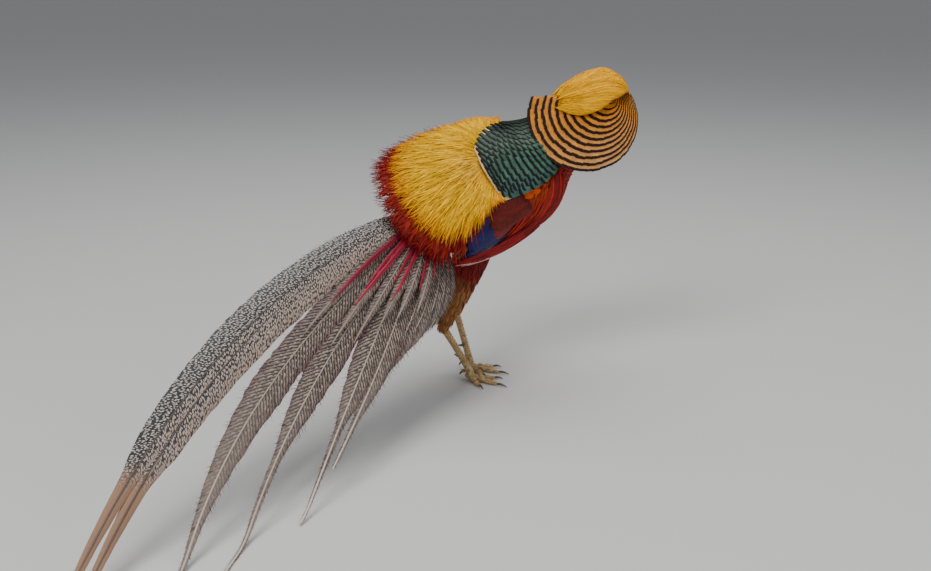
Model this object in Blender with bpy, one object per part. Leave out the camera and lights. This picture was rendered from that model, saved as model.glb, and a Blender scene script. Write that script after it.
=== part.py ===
# Male golden pheasant in its sideways display, standing, life size, in metres.
# The bird faces +X, its back rolled towards -Y, and its tail fan swings back towards -Y down to the floor.
# Every form is a bent ring loft or a strip (one feather or one lock). A node's pieces are fused into
# one closed body, then cut clear of the nodes that were made before it.

import math
import random

import bmesh
import bpy
from mathutils import Matrix, Quaternion, Vector

GAP = 0.0003                 # space kept between two nodes
CLEAR = GAP + 0.00005        # how much a guard is larger than what it guards
VANE = 0.0007                # thickness of a feather's vane
SUNK = 0.0020                # how deep a feather's root sits in its core
TILT = 3.5                   # degrees that a vane in a row leans over the next one
FLAT = 0.2                   # degrees within which faces left by a union are one flat face
UP = Vector((0.0, 0.0, 1.0))

# Trunk from the tail base to the inside of the head:
# centre x, y, z, half width, height above and below the centre, roll of the back towards -Y in degrees
TRUNK = (
    (-0.058, -0.050, 0.2120, 0.019, 0.014, 0.019, 42),
    (-0.034, -0.034, 0.2210, 0.046, 0.036, 0.048, 44),
    (-0.001, -0.015, 0.2320, 0.060, 0.053, 0.066, 45),
    (0.047, 0.000, 0.2510, 0.055, 0.050, 0.062, 45),
    (0.083, 0.010, 0.2760, 0.036, 0.035, 0.040, 40),
    (0.112, 0.014, 0.3000, 0.022, 0.023, 0.024, 32),
    (0.134, 0.016, 0.3220, 0.012, 0.012, 0.012, 20),
)
NECK_FROM = 0.66             # share of the trunk's length where the neck begins
TRUNK_SIDES = 18

# Head: its centre, the way it points, and its rings (distance forward, half width, up, down)
HEAD_AT = Vector((0.1415, 0.0160, 0.3320))
HEAD_AIM = Vector((0.78, 0.50, -0.38))
HEAD_ROLL = 15
HEAD_RINGS = (
    (-0.0230, 0.0070, 0.0080, 0.0080),
    (-0.0170, 0.0118, 0.0130, 0.0125),
    (-0.0070, 0.0145, 0.0160, 0.0150),
    (0.0040, 0.0142, 0.0155, 0.0150),
    (0.0140, 0.0110, 0.0118, 0.0125),
    (0.0205, 0.0066, 0.0070, 0.0082),
)
EYE_RADIUS = 0.0046
EYE_OUT = 0.0110             # eye centre from the head's middle plane
EYE_UP = 0.0058
EYE_FORWARD = 0.0060
BILL_LENGTH = 0.0215

# Crest: a dome of long silky locks that start on the forehead
CREST_AT = Vector((0.1335, 0.0010, 0.3360))
CREST_AIM = Vector((0.93, 0.30, -0.05))
CREST_HALF = (0.0360, 0.0330, 0.0330)   # forward, across, up
CREST_REAR = 0.0530          # backward
CREST_CORE = 0.58            # core's share of the dome
CREST_TILT = 9.0
CREST_CLEAR = 1.06           # share of the dome that other nodes keep clear of
CREST_SPAN = (-100, 104)     # degrees round the dome from its top, right side positive
CREST_TIERS = ((8, 44, 160, 0.90), (8, 6, 112, 1.00))

# Cape: tiers of square-tipped vanes fanned to the near side, tips on a circle that is off the eye
CAPE_EYE = Vector((0.1485, -0.0040, 0.3370))
CAPE_SLOPE_X = 0.09
CAPE_SLOPE_Z = 0.50
CAPE_RADIUS = 0.0630
CAPE_SHIFT = (-0.0345, 0.0205)          # circle's centre from the eye: image right, image down
CAPE_DOME = 0.0040
CAPE_FROM, CAPE_TO = -12, 186           # degrees, 0 to the front and 90 down
CAPE_REAR = 1.28             # how much further back the core runs, past the crest that covers the roots
CAPE_TIERS = ((7, 0.46), (9, 0.64), (11, 0.82), (12, 1.00))

# Mantle: rows of broad scale feathers
MANTLE_ROWS = 5
MANTLE_SPAN = (-78, 50)
FAR_WING = 0.80              # share of the near wing's quill length on the far side

# Lower back: a shield of long hair-like locks, fanned from the mantle's edge over the root of the tail
SHIELD_AT = Vector((0.0203, -0.0470, 0.2818))
SHIELD_NORMAL = Vector((0.2099, -0.6957, 0.6870))
SHIELD_BACK = Vector((-0.8219, -0.5060, -0.2614))
SHIELD_SIDE = Vector((0.5295, -0.5098, -0.6780))
SHIELD_SWELL = 0.0040
SHIELD_DROP_SIDE = 6.0       # how fast the shield falls off sideways and backwards, per metre
SHIELD_DROP_BACK = 1.7
SHIELD_REAR = 0.014          # its reach under the mantle
# angle from straight back, right positive, with the reach of the gold locks and of the scarlet ones
SHIELD_EDGE = (
    (-125, 0.046, 0.047), (-110, 0.050, 0.051), (-90, 0.059, 0.061), (-70, 0.067, 0.070),
    (-52, 0.084, 0.094), (-40, 0.106, 0.121), (-25, 0.117, 0.134), (-5, 0.125, 0.141),
    (12, 0.127, 0.143), (25, 0.122, 0.138), (34, 0.109, 0.130), (42, 0.085, 0.104),
    (50, 0.061, 0.079), (62, 0.050, 0.055),
)
SHIELD_SPAN = (-116, 58)
SHIELD_CORE = 0.52           # core's share of the reach
# count, column of the edge table, share of the reach at the root and at the tip, lift
SHIELD_TIERS = ((15, 2, 0.46, 1.00, -0.0016), (14, 1, 0.40, 1.00, 0.0012), (9, 1, 0.26, 0.76, 0.0034),
                (6, 1, 0.12, 0.52, 0.0050))

# Tail fan: its root, the normal of its upper face, the way the central feathers end
TAIL_ROOT = Vector((-0.058, -0.050, 0.2120))
TAIL_NORMAL = Vector((0.523, -0.559, 0.646)).normalized()
TAIL_AXIS = Vector((-0.4663, -0.8200, -0.3320)).normalized()
TAIL_SIDE = TAIL_NORMAL.cross(TAIL_AXIS)
TAIL_LAYER = 0.00108
FLOOR_EASE = 0.035           # height from which a tail feather turns flat to the floor
# length, spread at the root and at the tip in degrees, bend between them, half width, share where the
# vane has run out to the bare shaft, layer under the central pair
RIGHT_FAN = (
    (0.548, -2, 8.0, 2.2, 0.0170, 0.86, 2),
    (0.522, 5, 12.2, 2.0, 0.0170, 0.70, 3),
    (0.420, 14.6, 15.8, 1.5, 0.0160, 0.72, 4),
    (0.350, 23, 17.0, 0.8, 0.0150, 0.80, 5),
    (0.295, 31, 16.0, 0.8, 0.0145, 0.88, 6),
    (0.250, 39, 18.5, 0.8, 0.0140, 0.90, 7),
    (0.208, 52, 22.0, 0.8, 0.0130, 0.92, 8),
    (0.172, 64, 28.0, 0.8, 0.0120, 0.92, 9),
)
LEFT_FAN = (
    (0.540, -21, -2.0, 0.8, 0.0150, 0.84, 2.5),
    (0.480, -22, -4.0, 0.8, 0.0150, 0.84, 3.5),
    (0.410, -23, -6.5, 0.8, 0.0150, 0.84, 4.5),
    (0.340, -24, -9.0, 0.8, 0.0145, 0.86, 5.5),
    (0.285, -25, -11.0, 0.8, 0.0140, 0.88, 6.5),
    (0.240, -26, -13.0, 0.8, 0.0135, 0.90, 7.5),
    (0.200, -27, -15.0, 0.8, 0.0130, 0.92, 8.5),
    (0.168, -28, -17.0, 0.8, 0.0120, 0.92, 9.5),
)
CENTRE_LENGTH = 0.622
CENTRE_HALF = 0.0205
CENTRE_TURNS = (-19, 2.0, 0.95)          # spread at the root and at the tip, and the bend between them
CENTRE_SAG = 0.009
PLUMES = ((0.196, -10, -3), (0.150, -4, 2), (0.178, 3, 3), (0.120, 12, 10), (0.142, 20, 14), (0.112, 32, 26))

# Legs: joint points on each side
HOCK = {"right": Vector((-0.0440, -0.0300, 0.0710)), "left": Vector((-0.0305, 0.0200, 0.0790))}
ANKLE = {"right": Vector((-0.0123, -0.0166, 0.0110)), "left": Vector((-0.0122, 0.0191, 0.0110))}
KNEE = {"right": Vector((0.0000, -0.0330, 0.1850)), "left": Vector((0.0080, 0.0330, 0.1900))}
TOE_TURN = {"right": -32, "left": -22}
TOES = ((0, 0.040), (34, 0.031), (-34, 0.029))   # spread in degrees and length without the claw

COLOURS = {
    "crest": (0.86, 0.50, 0.03), "horn": (0.62, 0.55, 0.38), "eye": (0.80, 0.72, 0.35),
    "cape": (0.85, 0.42, 0.10), "mantle": (0.04, 0.16, 0.12), "rump": (0.88, 0.56, 0.02),
    "tail": (0.30, 0.22, 0.16), "wing": (0.12, 0.04, 0.10), "thigh": (0.42, 0.24, 0.12),
    "leg": (0.55, 0.43, 0.25),
}


# Small helpers

def mix(a, b, t):
    return a + (b - a) * t


def turned(vector, axis, degrees):
    return Quaternion(axis, math.radians(degrees)) @ vector


def spread(low, high, count):
    return [mix(low, high, (i + 0.5) / count) for i in range(count)]


# Solids as plain lists of points and triangles

def loft(rings):
    """A closed body through rings that all have the same number of points."""
    sides = len(rings[0])
    points = [p for ring in rings for p in ring]
    faces = []
    for k in range(len(rings) - 1):
        low = k * sides
        high = low + sides
        for i in range(sides):
            j = (i + 1) % sides
            faces.append((low + i, low + j, high + j))
            faces.append((low + i, high + j, high + i))
    last = (len(rings) - 1) * sides
    for i in range(1, sides - 1):
        faces.append((0, i + 1, i))
        faces.append((last, last + i, last + i + 1))
    return points, faces


def strip(centres, normals, halves, thick, floor=False):
    """One vane or lock: a flat box section swept along its centre line, split alike on both faces."""
    count = len(centres)
    rings = []
    for k in range(count):
        before = centres[max(k - 1, 0)]
        after = centres[min(k + 1, count - 1)]
        tangent = (after - before).normalized()
        side = tangent.cross(normals[k]).normalized()
        face = side.cross(tangent).normalized()
        half_width = halves[k]
        half_thick = thick[k] / 2
        ring = [centres[k] + side * (half_width * sx) + face * (half_thick * sz)
                for sx, sz in ((-1, 1), (1, 1), (1, -1), (-1, -1))]
        if floor:
            for top, bottom in ((0, 3), (1, 2)):
                ring[bottom].z = max(ring[bottom].z, 0.0)
                ring[top].z = max(ring[top].z, 2 * half_thick)
        rings.append(ring)
    return loft([list(reversed(ring)) for ring in rings])


class Trunk:
    """A bent round body: a smooth run of rings, each with its centre, widths and roll."""

    def __init__(self, stations, sides):
        self.stations = stations
        self.sides = sides
        self.length = sum((Vector(a[:3]) - Vector(b[:3])).length for a, b in zip(stations, stations[1:]))

    def value(self, share):
        last = len(self.stations) - 1
        place = min(max(share, 0.0), 1.0) * last
        k = min(int(place), last - 1)
        t = place - k
        p1 = self.stations[k]
        p2 = self.stations[k + 1]
        p0 = self.stations[k - 1] if k > 0 else [2 * a - b for a, b in zip(p1, p2)]
        p3 = self.stations[k + 2] if k + 2 <= last else [2 * b - a for a, b in zip(p1, p2)]
        return [0.5 * (2 * b + (c - a) * t + (2 * a - 5 * b + 4 * c - d) * t * t
                       + (3 * b - a - 3 * c + d) * t ** 3) for a, b, c, d in zip(p0, p1, p2, p3)]

    def frame(self, share):
        step = 0.01
        low = Vector(self.value(max(share, 0.0) - step if share > step else 0.0)[:3])
        high = Vector(self.value(share + step if share > 0 else step)[:3])
        along = (high - low).normalized()
        value = self.value(share)
        centre = Vector(value[:3])
        if share < 0:
            centre += along * (share * self.length)
        level_up = (UP - along * UP.dot(along)).normalized()
        back = turned(level_up, along, value[6])
        return centre, along, along.cross(back), back, value

    def point(self, share, angle, lift=0.0):
        """The skin point at an angle from the back, 90 on the bird's right, lifted along the normal."""
        centre, along, right, back, value = self.frame(share)
        angle = math.radians(angle)
        height = value[4] if math.cos(angle) > 0 else value[5]
        spot = centre + back * (math.cos(angle) * height) + right * (math.sin(angle) * value[3])
        return spot + self.normal(share, math.degrees(angle)) * lift

    def normal(self, share, angle):
        centre, along, right, back, value = self.frame(share)
        angle = math.radians(angle)
        height = value[4] if math.cos(angle) > 0 else value[5]
        return (back * (math.cos(angle) * value[3]) + right * (math.sin(angle) * height)).normalized()

    def body(self, start, end, rings, grow=0.0):
        loops = []
        for k in range(rings):
            share = mix(start, end, k / (rings - 1))
            loop = [self.point(share, 360 * i / self.sides, grow) for i in range(self.sides)]
            along = self.frame(share)[1]
            push = -grow if k == 0 else (grow if k == rings - 1 else 0.0)
            loops.append([p + along * push for p in loop])
        return loft(loops)

    def patch(self, shares, angles, lift, depth):
        """A thick patch lying on the trunk: lift(u, v) is its outer height, depth how far it sinks in."""
        loops = []
        for i, share in enumerate(shares):
            u = i / (len(shares) - 1)
            outer = [self.point(share, angle, lift(u, j / (len(angles) - 1))) for j, angle in enumerate(angles)]
            inner = [self.point(share, angle, -depth) for angle in reversed(angles)]
            loops.append(outer + inner)
        return loft(loops)


trunk = Trunk(TRUNK, TRUNK_SIDES)


def room(share_from, share_to, angles, low, high, rows=6):
    """A closed patch between two heights over the trunk, for the space that a coat of feathers takes.

    The first two values are functions of the angle, so that its ends can follow a row of feathers."""
    loops = []
    for i in range(rows):
        outer = []
        inner = []
        for angle in angles:
            share = mix(share_from(angle), share_to(angle), i / (rows - 1))
            outer.append(trunk.point(share, angle, high))
            inner.append(trunk.point(share, angle, low))
        loops.append(outer + list(reversed(inner)))
    return loft(loops)


def tube(points, radii, sides=8, grow=0.0, floor=False, guide=UP):
    """A tapered round rod through points, with its lowest side flattened on the floor if asked."""
    rings = []
    count = len(points)
    for k in range(count):
        tangent = (points[min(k + 1, count - 1)] - points[max(k - 1, 0)]).normalized()
        side = tangent.cross(guide).normalized()
        face = side.cross(tangent)
        centre = points[k].copy()
        if k == 0:
            centre -= tangent * grow
        if k == count - 1:
            centre += tangent * grow
        ring = []
        for i in range(sides):
            angle = 2 * math.pi * (i + 0.5) / sides
            p = centre + (side * math.sin(angle) + face * math.cos(angle)) * (radii[k] + grow)
            if floor:
                p.z = max(p.z, 0.0)
            ring.append(p)
        rings.append(ring)
    return loft(rings)


def ball(centre, radius, grow=0.0, rows=6, sides=10):
    rings = []
    for k in range(rows):
        angle = math.pi * (k + 0.5) / rows
        ring_radius = math.sin(angle) * (radius + grow)
        height = -math.cos(angle) * (radius + grow)
        rings.append([centre + Vector((math.cos(a) * ring_radius, math.sin(a) * ring_radius, height))
                      for a in (2 * math.pi * i / sides for i in range(sides))])
    return loft(rings)


ROUND_TIP = ((0.0, 0.50), (0.62, 1.0), (1.0, 0.50))
LOCK_TIP = ((0.0, 0.75), (0.45, 1.0), (1.0, 0.14))


def vane(root, along, normal, length, half, profile, rise, curl, tilt, thick):
    """A vane or lock that leaves its root along a direction, rises from the skin, and bends back to it."""
    lean = turned(normal, along, tilt)
    centres = []
    for t, _ in profile:
        climb = length * (math.sin(math.radians(rise)) * t - curl * t * t)
        centres.append(root + along * (length * t) + normal * climb)
    thicks = [mix(thick, min(thick, VANE), t) for t, _ in profile]
    return strip(centres, [lean] * len(centres), [half * w for _, w in profile], thicks)


# Scene objects and Booleans

def clear_scene():
    for item in list(bpy.data.objects):
        bpy.data.objects.remove(item, do_unlink=True)


def new_object(name, piece, holder):
    points, faces = piece
    mesh = bpy.data.meshes.new(name)
    mesh.from_pydata([tuple(p) for p in points], [], faces)
    shape = bmesh.new()
    shape.from_mesh(mesh)
    if shape.calc_volume(signed=True) < 0:
        bmesh.ops.reverse_faces(shape, faces=shape.faces)
    shape.to_mesh(mesh)
    shape.free()
    item = bpy.data.objects.new(name, mesh)
    holder.objects.link(item)
    return item


def apply_boolean(item, operation, pieces):
    """One Boolean of an object with a collection of closed meshes, applied, and the collection removed."""
    holder = bpy.data.collections.new("work")
    bpy.context.scene.collection.children.link(holder)
    for k, piece in enumerate(pieces):
        new_object(f"work_{k}", piece, holder)
    step = item.modifiers.new("join", "BOOLEAN")
    step.operation = operation
    step.operand_type = "COLLECTION"
    step.collection = holder
    step.solver = "MANIFOLD"
    bpy.context.view_layer.update()
    graph = bpy.context.evaluated_depsgraph_get()
    mesh = bpy.data.meshes.new_from_object(item.evaluated_get(graph))
    item.modifiers.clear()
    item.data = mesh
    for worker in list(holder.objects):
        bpy.data.objects.remove(worker, do_unlink=True)
    bpy.data.collections.remove(holder)


def keep_largest(item):
    """Keep the largest closed surface of an object, which drops scraps and sealed hollows."""
    shape = bmesh.new()
    shape.from_mesh(item.data)
    bmesh.ops.dissolve_limit(shape, angle_limit=math.radians(FLAT), verts=shape.verts, edges=shape.edges)
    bmesh.ops.triangulate(shape, faces=shape.faces)
    left = set(shape.faces)
    groups = []
    while left:
        seed = left.pop()
        group = {seed}
        edge_faces = [seed]
        while edge_faces:
            face = edge_faces.pop()
            for edge in face.edges:
                for other in edge.link_faces:
                    if other in left:
                        left.discard(other)
                        group.add(other)
                        edge_faces.append(other)
        groups.append(group)

    def volume(group):
        return abs(sum(f.verts[0].co.dot(f.verts[1].co.cross(f.verts[2].co)) for f in group))

    best = max(groups, key=volume)
    scraps = [(len(g), round(volume(g) / 6 * 1e9)) for g in groups if g is not best]
    doomed = [f for f in shape.faces if f not in best]
    bmesh.ops.delete(shape, geom=doomed, context="FACES")
    shape.to_mesh(item.data)
    shape.free()
    return scraps


def material(name):
    found = bpy.data.materials.get(name)
    if found:
        return found
    found = bpy.data.materials.new(name)
    found.use_nodes = True
    shader = found.node_tree.nodes["Principled BSDF"]
    shader.inputs["Base Color"].default_value = (*COLOURS[name], 1.0)
    shader.inputs["Roughness"].default_value = 0.3 if name in ("eye", "horn") else 0.65
    return found


def node(name, colour, pieces, guards, home):
    """Make one node: fuse its pieces, cut it clear of its neighbours, and give it its material."""
    item = new_object(name, pieces[0], home)
    if len(pieces) > 1:
        apply_boolean(item, "UNION", pieces[1:])
    if guards:
        apply_boolean(item, "DIFFERENCE", guards)
    dropped = keep_largest(item)
    item.data.materials.clear()
    item.data.materials.append(material(colour))
    print(name, "triangles", len(item.data.polygons), "scraps", dropped)
    return item


# Head, eyes and bill

def head_axes():
    aim = HEAD_AIM.normalized()
    right = aim.cross(UP).normalized()
    top = right.cross(aim)
    top = turned(top, aim, HEAD_ROLL)
    return aim, aim.cross(top), top


def eye_centre(side):
    aim, right, top = head_axes()
    sign = 1 if side == "right" else -1
    return HEAD_AT + aim * EYE_FORWARD + right * (sign * EYE_OUT) + top * EYE_UP


def eye_piece(side, grow=0.0):
    return ball(eye_centre(side), EYE_RADIUS, grow)


def oval_rings(rings, sides, grow=0.0):
    aim, right, top = head_axes()
    loops = []
    for k, (forward, half, up, down) in enumerate(rings):
        push = -grow if k == 0 else (grow if k == len(rings) - 1 else 0.0)
        centre = HEAD_AT + aim * (forward + push)
        loop = []
        for i in range(sides):
            angle = 2 * math.pi * i / sides
            height = (up if math.cos(angle) > 0 else down) + grow
            loop.append(centre + top * (math.cos(angle) * height) + right * (math.sin(angle) * (half + grow)))
        loops.append(loop)
    return loft(loops)


def lid_ring(side):
    """A low raised rim of bare skin round the eye."""
    aim, right, top = head_axes()
    out = right if side == "right" else -right
    centre = eye_centre(side) + out * 0.0026
    points = []
    faces = []
    sides = 14
    for i in range(sides):
        angle = 2 * math.pi * i / sides
        spoke = aim * math.cos(angle) + top * math.sin(angle)
        for reach, height in ((0.0030, 0.0012), (0.0052, 0.0006), (0.0052, -0.0040), (0.0030, -0.0040)):
            points.append(centre + spoke * reach + out * height)
    for i in range(sides):
        j = (i + 1) % sides
        for k in range(4):
            m = (k + 1) % 4
            faces.append((4 * i + k, 4 * j + k, 4 * j + m))
            faces.append((4 * i + k, 4 * j + m, 4 * i + m))
    return points, faces


def crest_point(theta, azimuth, scale):
    """A point on the crest's dome: theta from its front pole, azimuth from its top, right positive."""
    aim = CREST_AIM.normalized()
    right = aim.cross(UP).normalized()
    top = turned(right.cross(aim), aim, HEAD_ROLL)
    right = aim.cross(top)
    theta = math.radians(theta)
    azimuth = math.radians(azimuth)
    along, across, up = CREST_HALF
    along = along if math.cos(theta) > 0 else CREST_REAR
    offset = (aim * (math.cos(theta) * along) + right * (math.sin(theta) * math.sin(azimuth) * across)
              + top * (math.sin(theta) * math.cos(azimuth) * up))
    return CREST_AT + offset * scale


def crest_lock(start, end, azimuth, scale, half):
    """One silky lock along the dome, its root sunk towards the core and its tip a little clear."""
    stops = ((0.0, 0.50, 0.7), (0.18, 0.90, 1.0), (0.50, 1.0, 1.0), (0.80, 1.01, 0.7), (1.0, 1.02, 0.15))
    centres = []
    normals = []
    for t, reach, _ in stops:
        theta = mix(start, end, t)
        centres.append(crest_point(theta, azimuth * (1 - 0.12 * t), scale * reach))
        normals.append((centres[-1] - CREST_AT).normalized())
    lean = (centres[2] - centres[1]).normalized()
    normals = [turned(normal, lean, CREST_TILT) for normal in normals]
    widths = [half * w * max(0.25, math.sin(math.radians(mix(start, end, t)))) for t, _, w in stops]
    return strip(centres, normals, widths, [0.0016, 0.0016, 0.0014, 0.0010, VANE])


def crest_dome(scale):
    rings = []
    for k in range(8):
        theta = 180 * (k + 0.35) / 7.7
        rings.append([crest_point(theta, 360 * i / 14, scale) for i in range(14)])
    return loft(rings)


def crest_shell():
    """The room that the crest's locks take: a thick curved patch of the dome, deeper where the roots are."""
    azimuths = [mix(CREST_SPAN[0] - 16, CREST_SPAN[1] + 16, i / 10) for i in range(11)]
    loops = []
    for theta, inner in ((3, 0.38), (30, 0.38), (60, 0.38), (90, 0.38), (114, 0.40), (128, 0.80), (150, 0.80),
                         (168, 0.80)):
        outer_side = [crest_point(theta, azimuth, CREST_CLEAR) for azimuth in azimuths]
        inner_side = [crest_point(theta, azimuth, inner) for azimuth in reversed(azimuths)]
        loops.append(outer_side + inner_side)
    return loft(loops)


def head_guard():
    """The room that the head, its lids and its crest take, a little larger than they are."""
    lids = [ball(eye_centre(side), 0.0070) for side in ("right", "left")]
    return [oval_rings(HEAD_RINGS, 16, CLEAR), crest_dome(CREST_CORE + CLEAR / CREST_HALF[1]), crest_shell(), *lids]


def head_pieces():
    draw = random.Random(3)
    pieces = [oval_rings(HEAD_RINGS, 16), crest_dome(CREST_CORE), lid_ring("right"), lid_ring("left")]
    for count, start, end, scale in CREST_TIERS:
        for azimuth in spread(*CREST_SPAN, count):
            jitter = draw.uniform(-4, 4)
            half = CREST_HALF[2] * math.radians(CREST_SPAN[1] - CREST_SPAN[0]) / count * 0.62
            begin = start + max(0.0, -azimuth - 50, 1.1 * (azimuth - 36))
            pieces.append(crest_lock(begin, end + jitter, azimuth, scale, half))
    return pieces


def bill_piece(upper):
    """One half of the bill: the upper hooks over the lower, and both start at the head's front ring."""
    aim, right, top = head_axes()
    base = HEAD_AT + aim * (HEAD_RINGS[-1][0] + GAP)
    rings = []
    for t, half, high in ((0.0, 0.0060, 0.0062), (0.30, 0.0050, 0.0052), (0.62, 0.0034, 0.0038),
                          (0.88, 0.0018, 0.0024), (1.0, 0.0008, 0.0010)):
        drop = 0.0030 * t * t
        centre = base + aim * (BILL_LENGTH * t) - top * drop
        loop = []
        if upper:
            corners = ((-1.0, 0.0), (-0.85, 0.50), (-0.40, 0.92), (0.40, 0.92), (0.85, 0.50), (1.0, 0.0))
            lift = 0.00015
        else:
            centre = base + aim * (BILL_LENGTH * 0.88 * t) - top * drop
            corners = ((1.0, 0.0), (0.80, -0.42), (0.35, -0.75), (-0.35, -0.75), (-0.80, -0.42), (-1.0, 0.0))
            lift = -0.00015
        for sx, sz in corners:
            loop.append(centre + right * (sx * half) + top * (sz * high + lift))
        rings.append(loop)
    return loft(rings)


def nostril_cut(side):
    aim, right, top = head_axes()
    sign = 1 if side == "right" else -1
    centre = HEAD_AT + aim * (HEAD_RINGS[-1][0] + 0.0052) + right * (sign * 0.0052) + top * 0.0026
    return tube([centre - aim * 0.0016, centre, centre + aim * 0.0016], [0.0005, 0.0009, 0.0004], 8)


# Neck and cape

def cape_axes():
    face = Vector((CAPE_SLOPE_X, -1.0, CAPE_SLOPE_Z)).normalized()
    ahead = Vector((1.0, CAPE_SLOPE_X, 0.0)).normalized()
    ahead = (ahead - face * ahead.dot(face)).normalized()
    down = face.cross(ahead)
    if down.z > 0:
        down = -down
    return ahead, down, face


def cape_reach(angle):
    """Distance from the eye to the circle of tips in a direction, by the law of the offset circle."""
    angle = math.radians(angle)
    direction = (math.cos(angle), math.sin(angle))
    along = direction[0] * CAPE_SHIFT[0] + direction[1] * CAPE_SHIFT[1]
    square = CAPE_SHIFT[0] ** 2 + CAPE_SHIFT[1] ** 2
    return along + math.sqrt(along * along - square + CAPE_RADIUS ** 2)


def cape_point(distance, angle, lift=0.0):
    ahead, down, face = cape_axes()
    turn = math.radians(angle)
    x = distance * math.cos(turn)
    y = distance * math.sin(turn)
    off = ((x - CAPE_SHIFT[0]) ** 2 + (y - CAPE_SHIFT[1]) ** 2) / CAPE_RADIUS ** 2
    return CAPE_EYE + ahead * x + down * y + face * (CAPE_DOME * (1 - off) + lift)


def cape_vane(angle, share, half, lift):
    reach = cape_reach(angle) * share
    start = reach * max(0.0, 1 - 0.55 / share ** 0.5)
    stops = ((0.0, -1.0, 0.42), (0.62, 0.6, 0.95), (1.0, 1.0, 0.90))
    face = cape_axes()[2]
    centres = [cape_point(mix(start, reach, t), angle, lift * (0.5 + rise / 2) + min(rise, 0.0) * SUNK)
               for t, rise, _ in stops]
    tangent = (centres[-1] - centres[0]).normalized()
    lean = turned(face, tangent, TILT)
    return strip(centres, [lean] * 3, [half * w for _, _, w in stops], [VANE * 1.6, VANE, VANE])


def cape_core(grow=0.0):
    """The packed bases of the cape: a low dome behind the vanes that reaches into the neck."""
    rings = []
    sides = 20
    for share, back in ((0.0, 0.0), (0.40, 0.0), (0.60, 0.0), (0.60, 0.0030), (0.42, 0.0160), (0.0, 0.0280)):
        ring = []
        for i in range(sides):
            angle = 360 * i / sides
            rear = max(0.0, -math.cos(math.radians(angle))) ** 2
            reach = cape_reach(angle) * max(share, 0.02) * mix(1.0, CAPE_REAR, rear)
            ring.append(cape_point(reach + grow * (share > 0), angle,
                                   -back - 0.0005 + (grow if back == 0 else -grow)))
        rings.append(ring)
    return loft(rings)


def cape_plate(back, front):
    """A round plate that holds every vane of the cape, used as a guard."""
    rings = []
    for share, lift in ((0.02, back), (1.01, back), (1.01, front), (0.02, front)):
        rings.append([cape_point(cape_reach(360 * i / 24) * share, 360 * i / 24, lift) for i in range(24)])
    return loft(rings)


def neck_guard():
    hackle = room(lambda angle: NECK_FROM - 0.12, lambda angle: 0.84, [mix(-190, 0, i / 10) for i in range(11)],
                  -0.0010, 0.0090)
    return [trunk.body(NECK_FROM, 0.985, 8, CLEAR), cape_core(CLEAR), cape_plate(-0.0035, 0.016), hackle]


def neck_pieces():
    pieces = [trunk.body(NECK_FROM, 0.985, 8), cape_core()]
    tiers = len(CAPE_TIERS)
    for tier, (count, share) in enumerate(CAPE_TIERS):
        lift = 0.0026 * (tiers - tier)
        for angle in spread(CAPE_FROM, CAPE_TO, count):
            arc = math.radians(CAPE_TO - CAPE_FROM) * cape_reach(angle) * share / count
            pieces.append(cape_vane(angle, share, min(arc * 0.62, 0.0120), lift))
    for row, share in enumerate((0.82, 0.74)):
        for angle in spread(-170, -20, 5):
            pieces.append(skin_vane(share, angle, 0.034, 0.0105, ROUND_TIP, rise=7))
    return pieces


# Feathers on the trunk

def skin_vane(share, angle, length, half, profile, rise=6.0, fan=0.0, lift=0.0, curl=0.0, tilt=TILT,
              thick=VANE):
    """A feather rooted in the trunk's skin, lying back along the body and turned by fan degrees."""
    along = (trunk.point(share - 0.02, angle) - trunk.point(share, angle)).normalized()
    normal = trunk.normal(share, angle)
    normal = (normal - along * normal.dot(along)).normalized()
    along = turned(along, normal, fan)
    root = trunk.point(share, angle, lift - SUNK)
    return vane(root, along, normal, length, half, profile, rise, curl, tilt, thick)


def mantle_share(row, angle):
    """Rows of the mantle run as arcs that reach furthest back on the midline."""
    return mix(0.44, 0.63, row / (MANTLE_ROWS - 1)) + 0.10 * ((angle + 8) / 70) ** 2


def torso_guard():
    """The trunk and the room that the mantle's feathers take over it."""
    angles = [mix(MANTLE_SPAN[0] - 14, MANTLE_SPAN[1] + 8, i / 8) for i in range(9)]
    feathers = room(lambda angle: mantle_share(0, angle) - 0.170, lambda angle: NECK_FROM + 0.06, angles,
                    -0.0020, 0.0135)
    return [trunk.body(0.0, NECK_FROM, 13, CLEAR), feathers]


def torso_pieces():
    pieces = [trunk.body(0.0, NECK_FROM, 13)]
    for row in range(MANTLE_ROWS):
        count = 8 - (row > 3)
        shift = (row % 2) * 0.5 - 0.25
        for k in range(count):
            angle = mix(*MANTLE_SPAN, (k + 0.5 + shift) / count)
            pieces.append(skin_vane(mantle_share(row, angle), angle, 0.030, 0.0100, ROUND_TIP, rise=11, curl=0.04))
    return pieces


def shield_reach(angle, column):
    """How far the locks reach at an angle, read from the edge table, or the short reach under the mantle."""
    angle = (angle + 180) % 360 - 180
    for low, high in zip(SHIELD_EDGE, SHIELD_EDGE[1:]):
        if low[0] <= angle <= high[0]:
            return mix(low[column], high[column], (angle - low[0]) / (high[0] - low[0]))
    return SHIELD_REAR


def shield_frame(angle, distance):
    side = math.sin(math.radians(angle)) * distance
    back = math.cos(math.radians(angle)) * distance
    rise = SHIELD_SWELL * min(distance / 0.05, 1.0) - SHIELD_DROP_SIDE * side ** 2 - SHIELD_DROP_BACK * back ** 2
    spot = SHIELD_AT + SHIELD_SIDE * side + SHIELD_BACK * back + SHIELD_NORMAL * rise
    normal = (SHIELD_NORMAL + SHIELD_SIDE * (2 * SHIELD_DROP_SIDE * side)
              + SHIELD_BACK * (2 * SHIELD_DROP_BACK * back)).normalized()
    return spot, normal


def shield_point(angle, distance, lift=0.0):
    spot, normal = shield_frame(angle, distance)
    return spot + normal * lift


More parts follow.
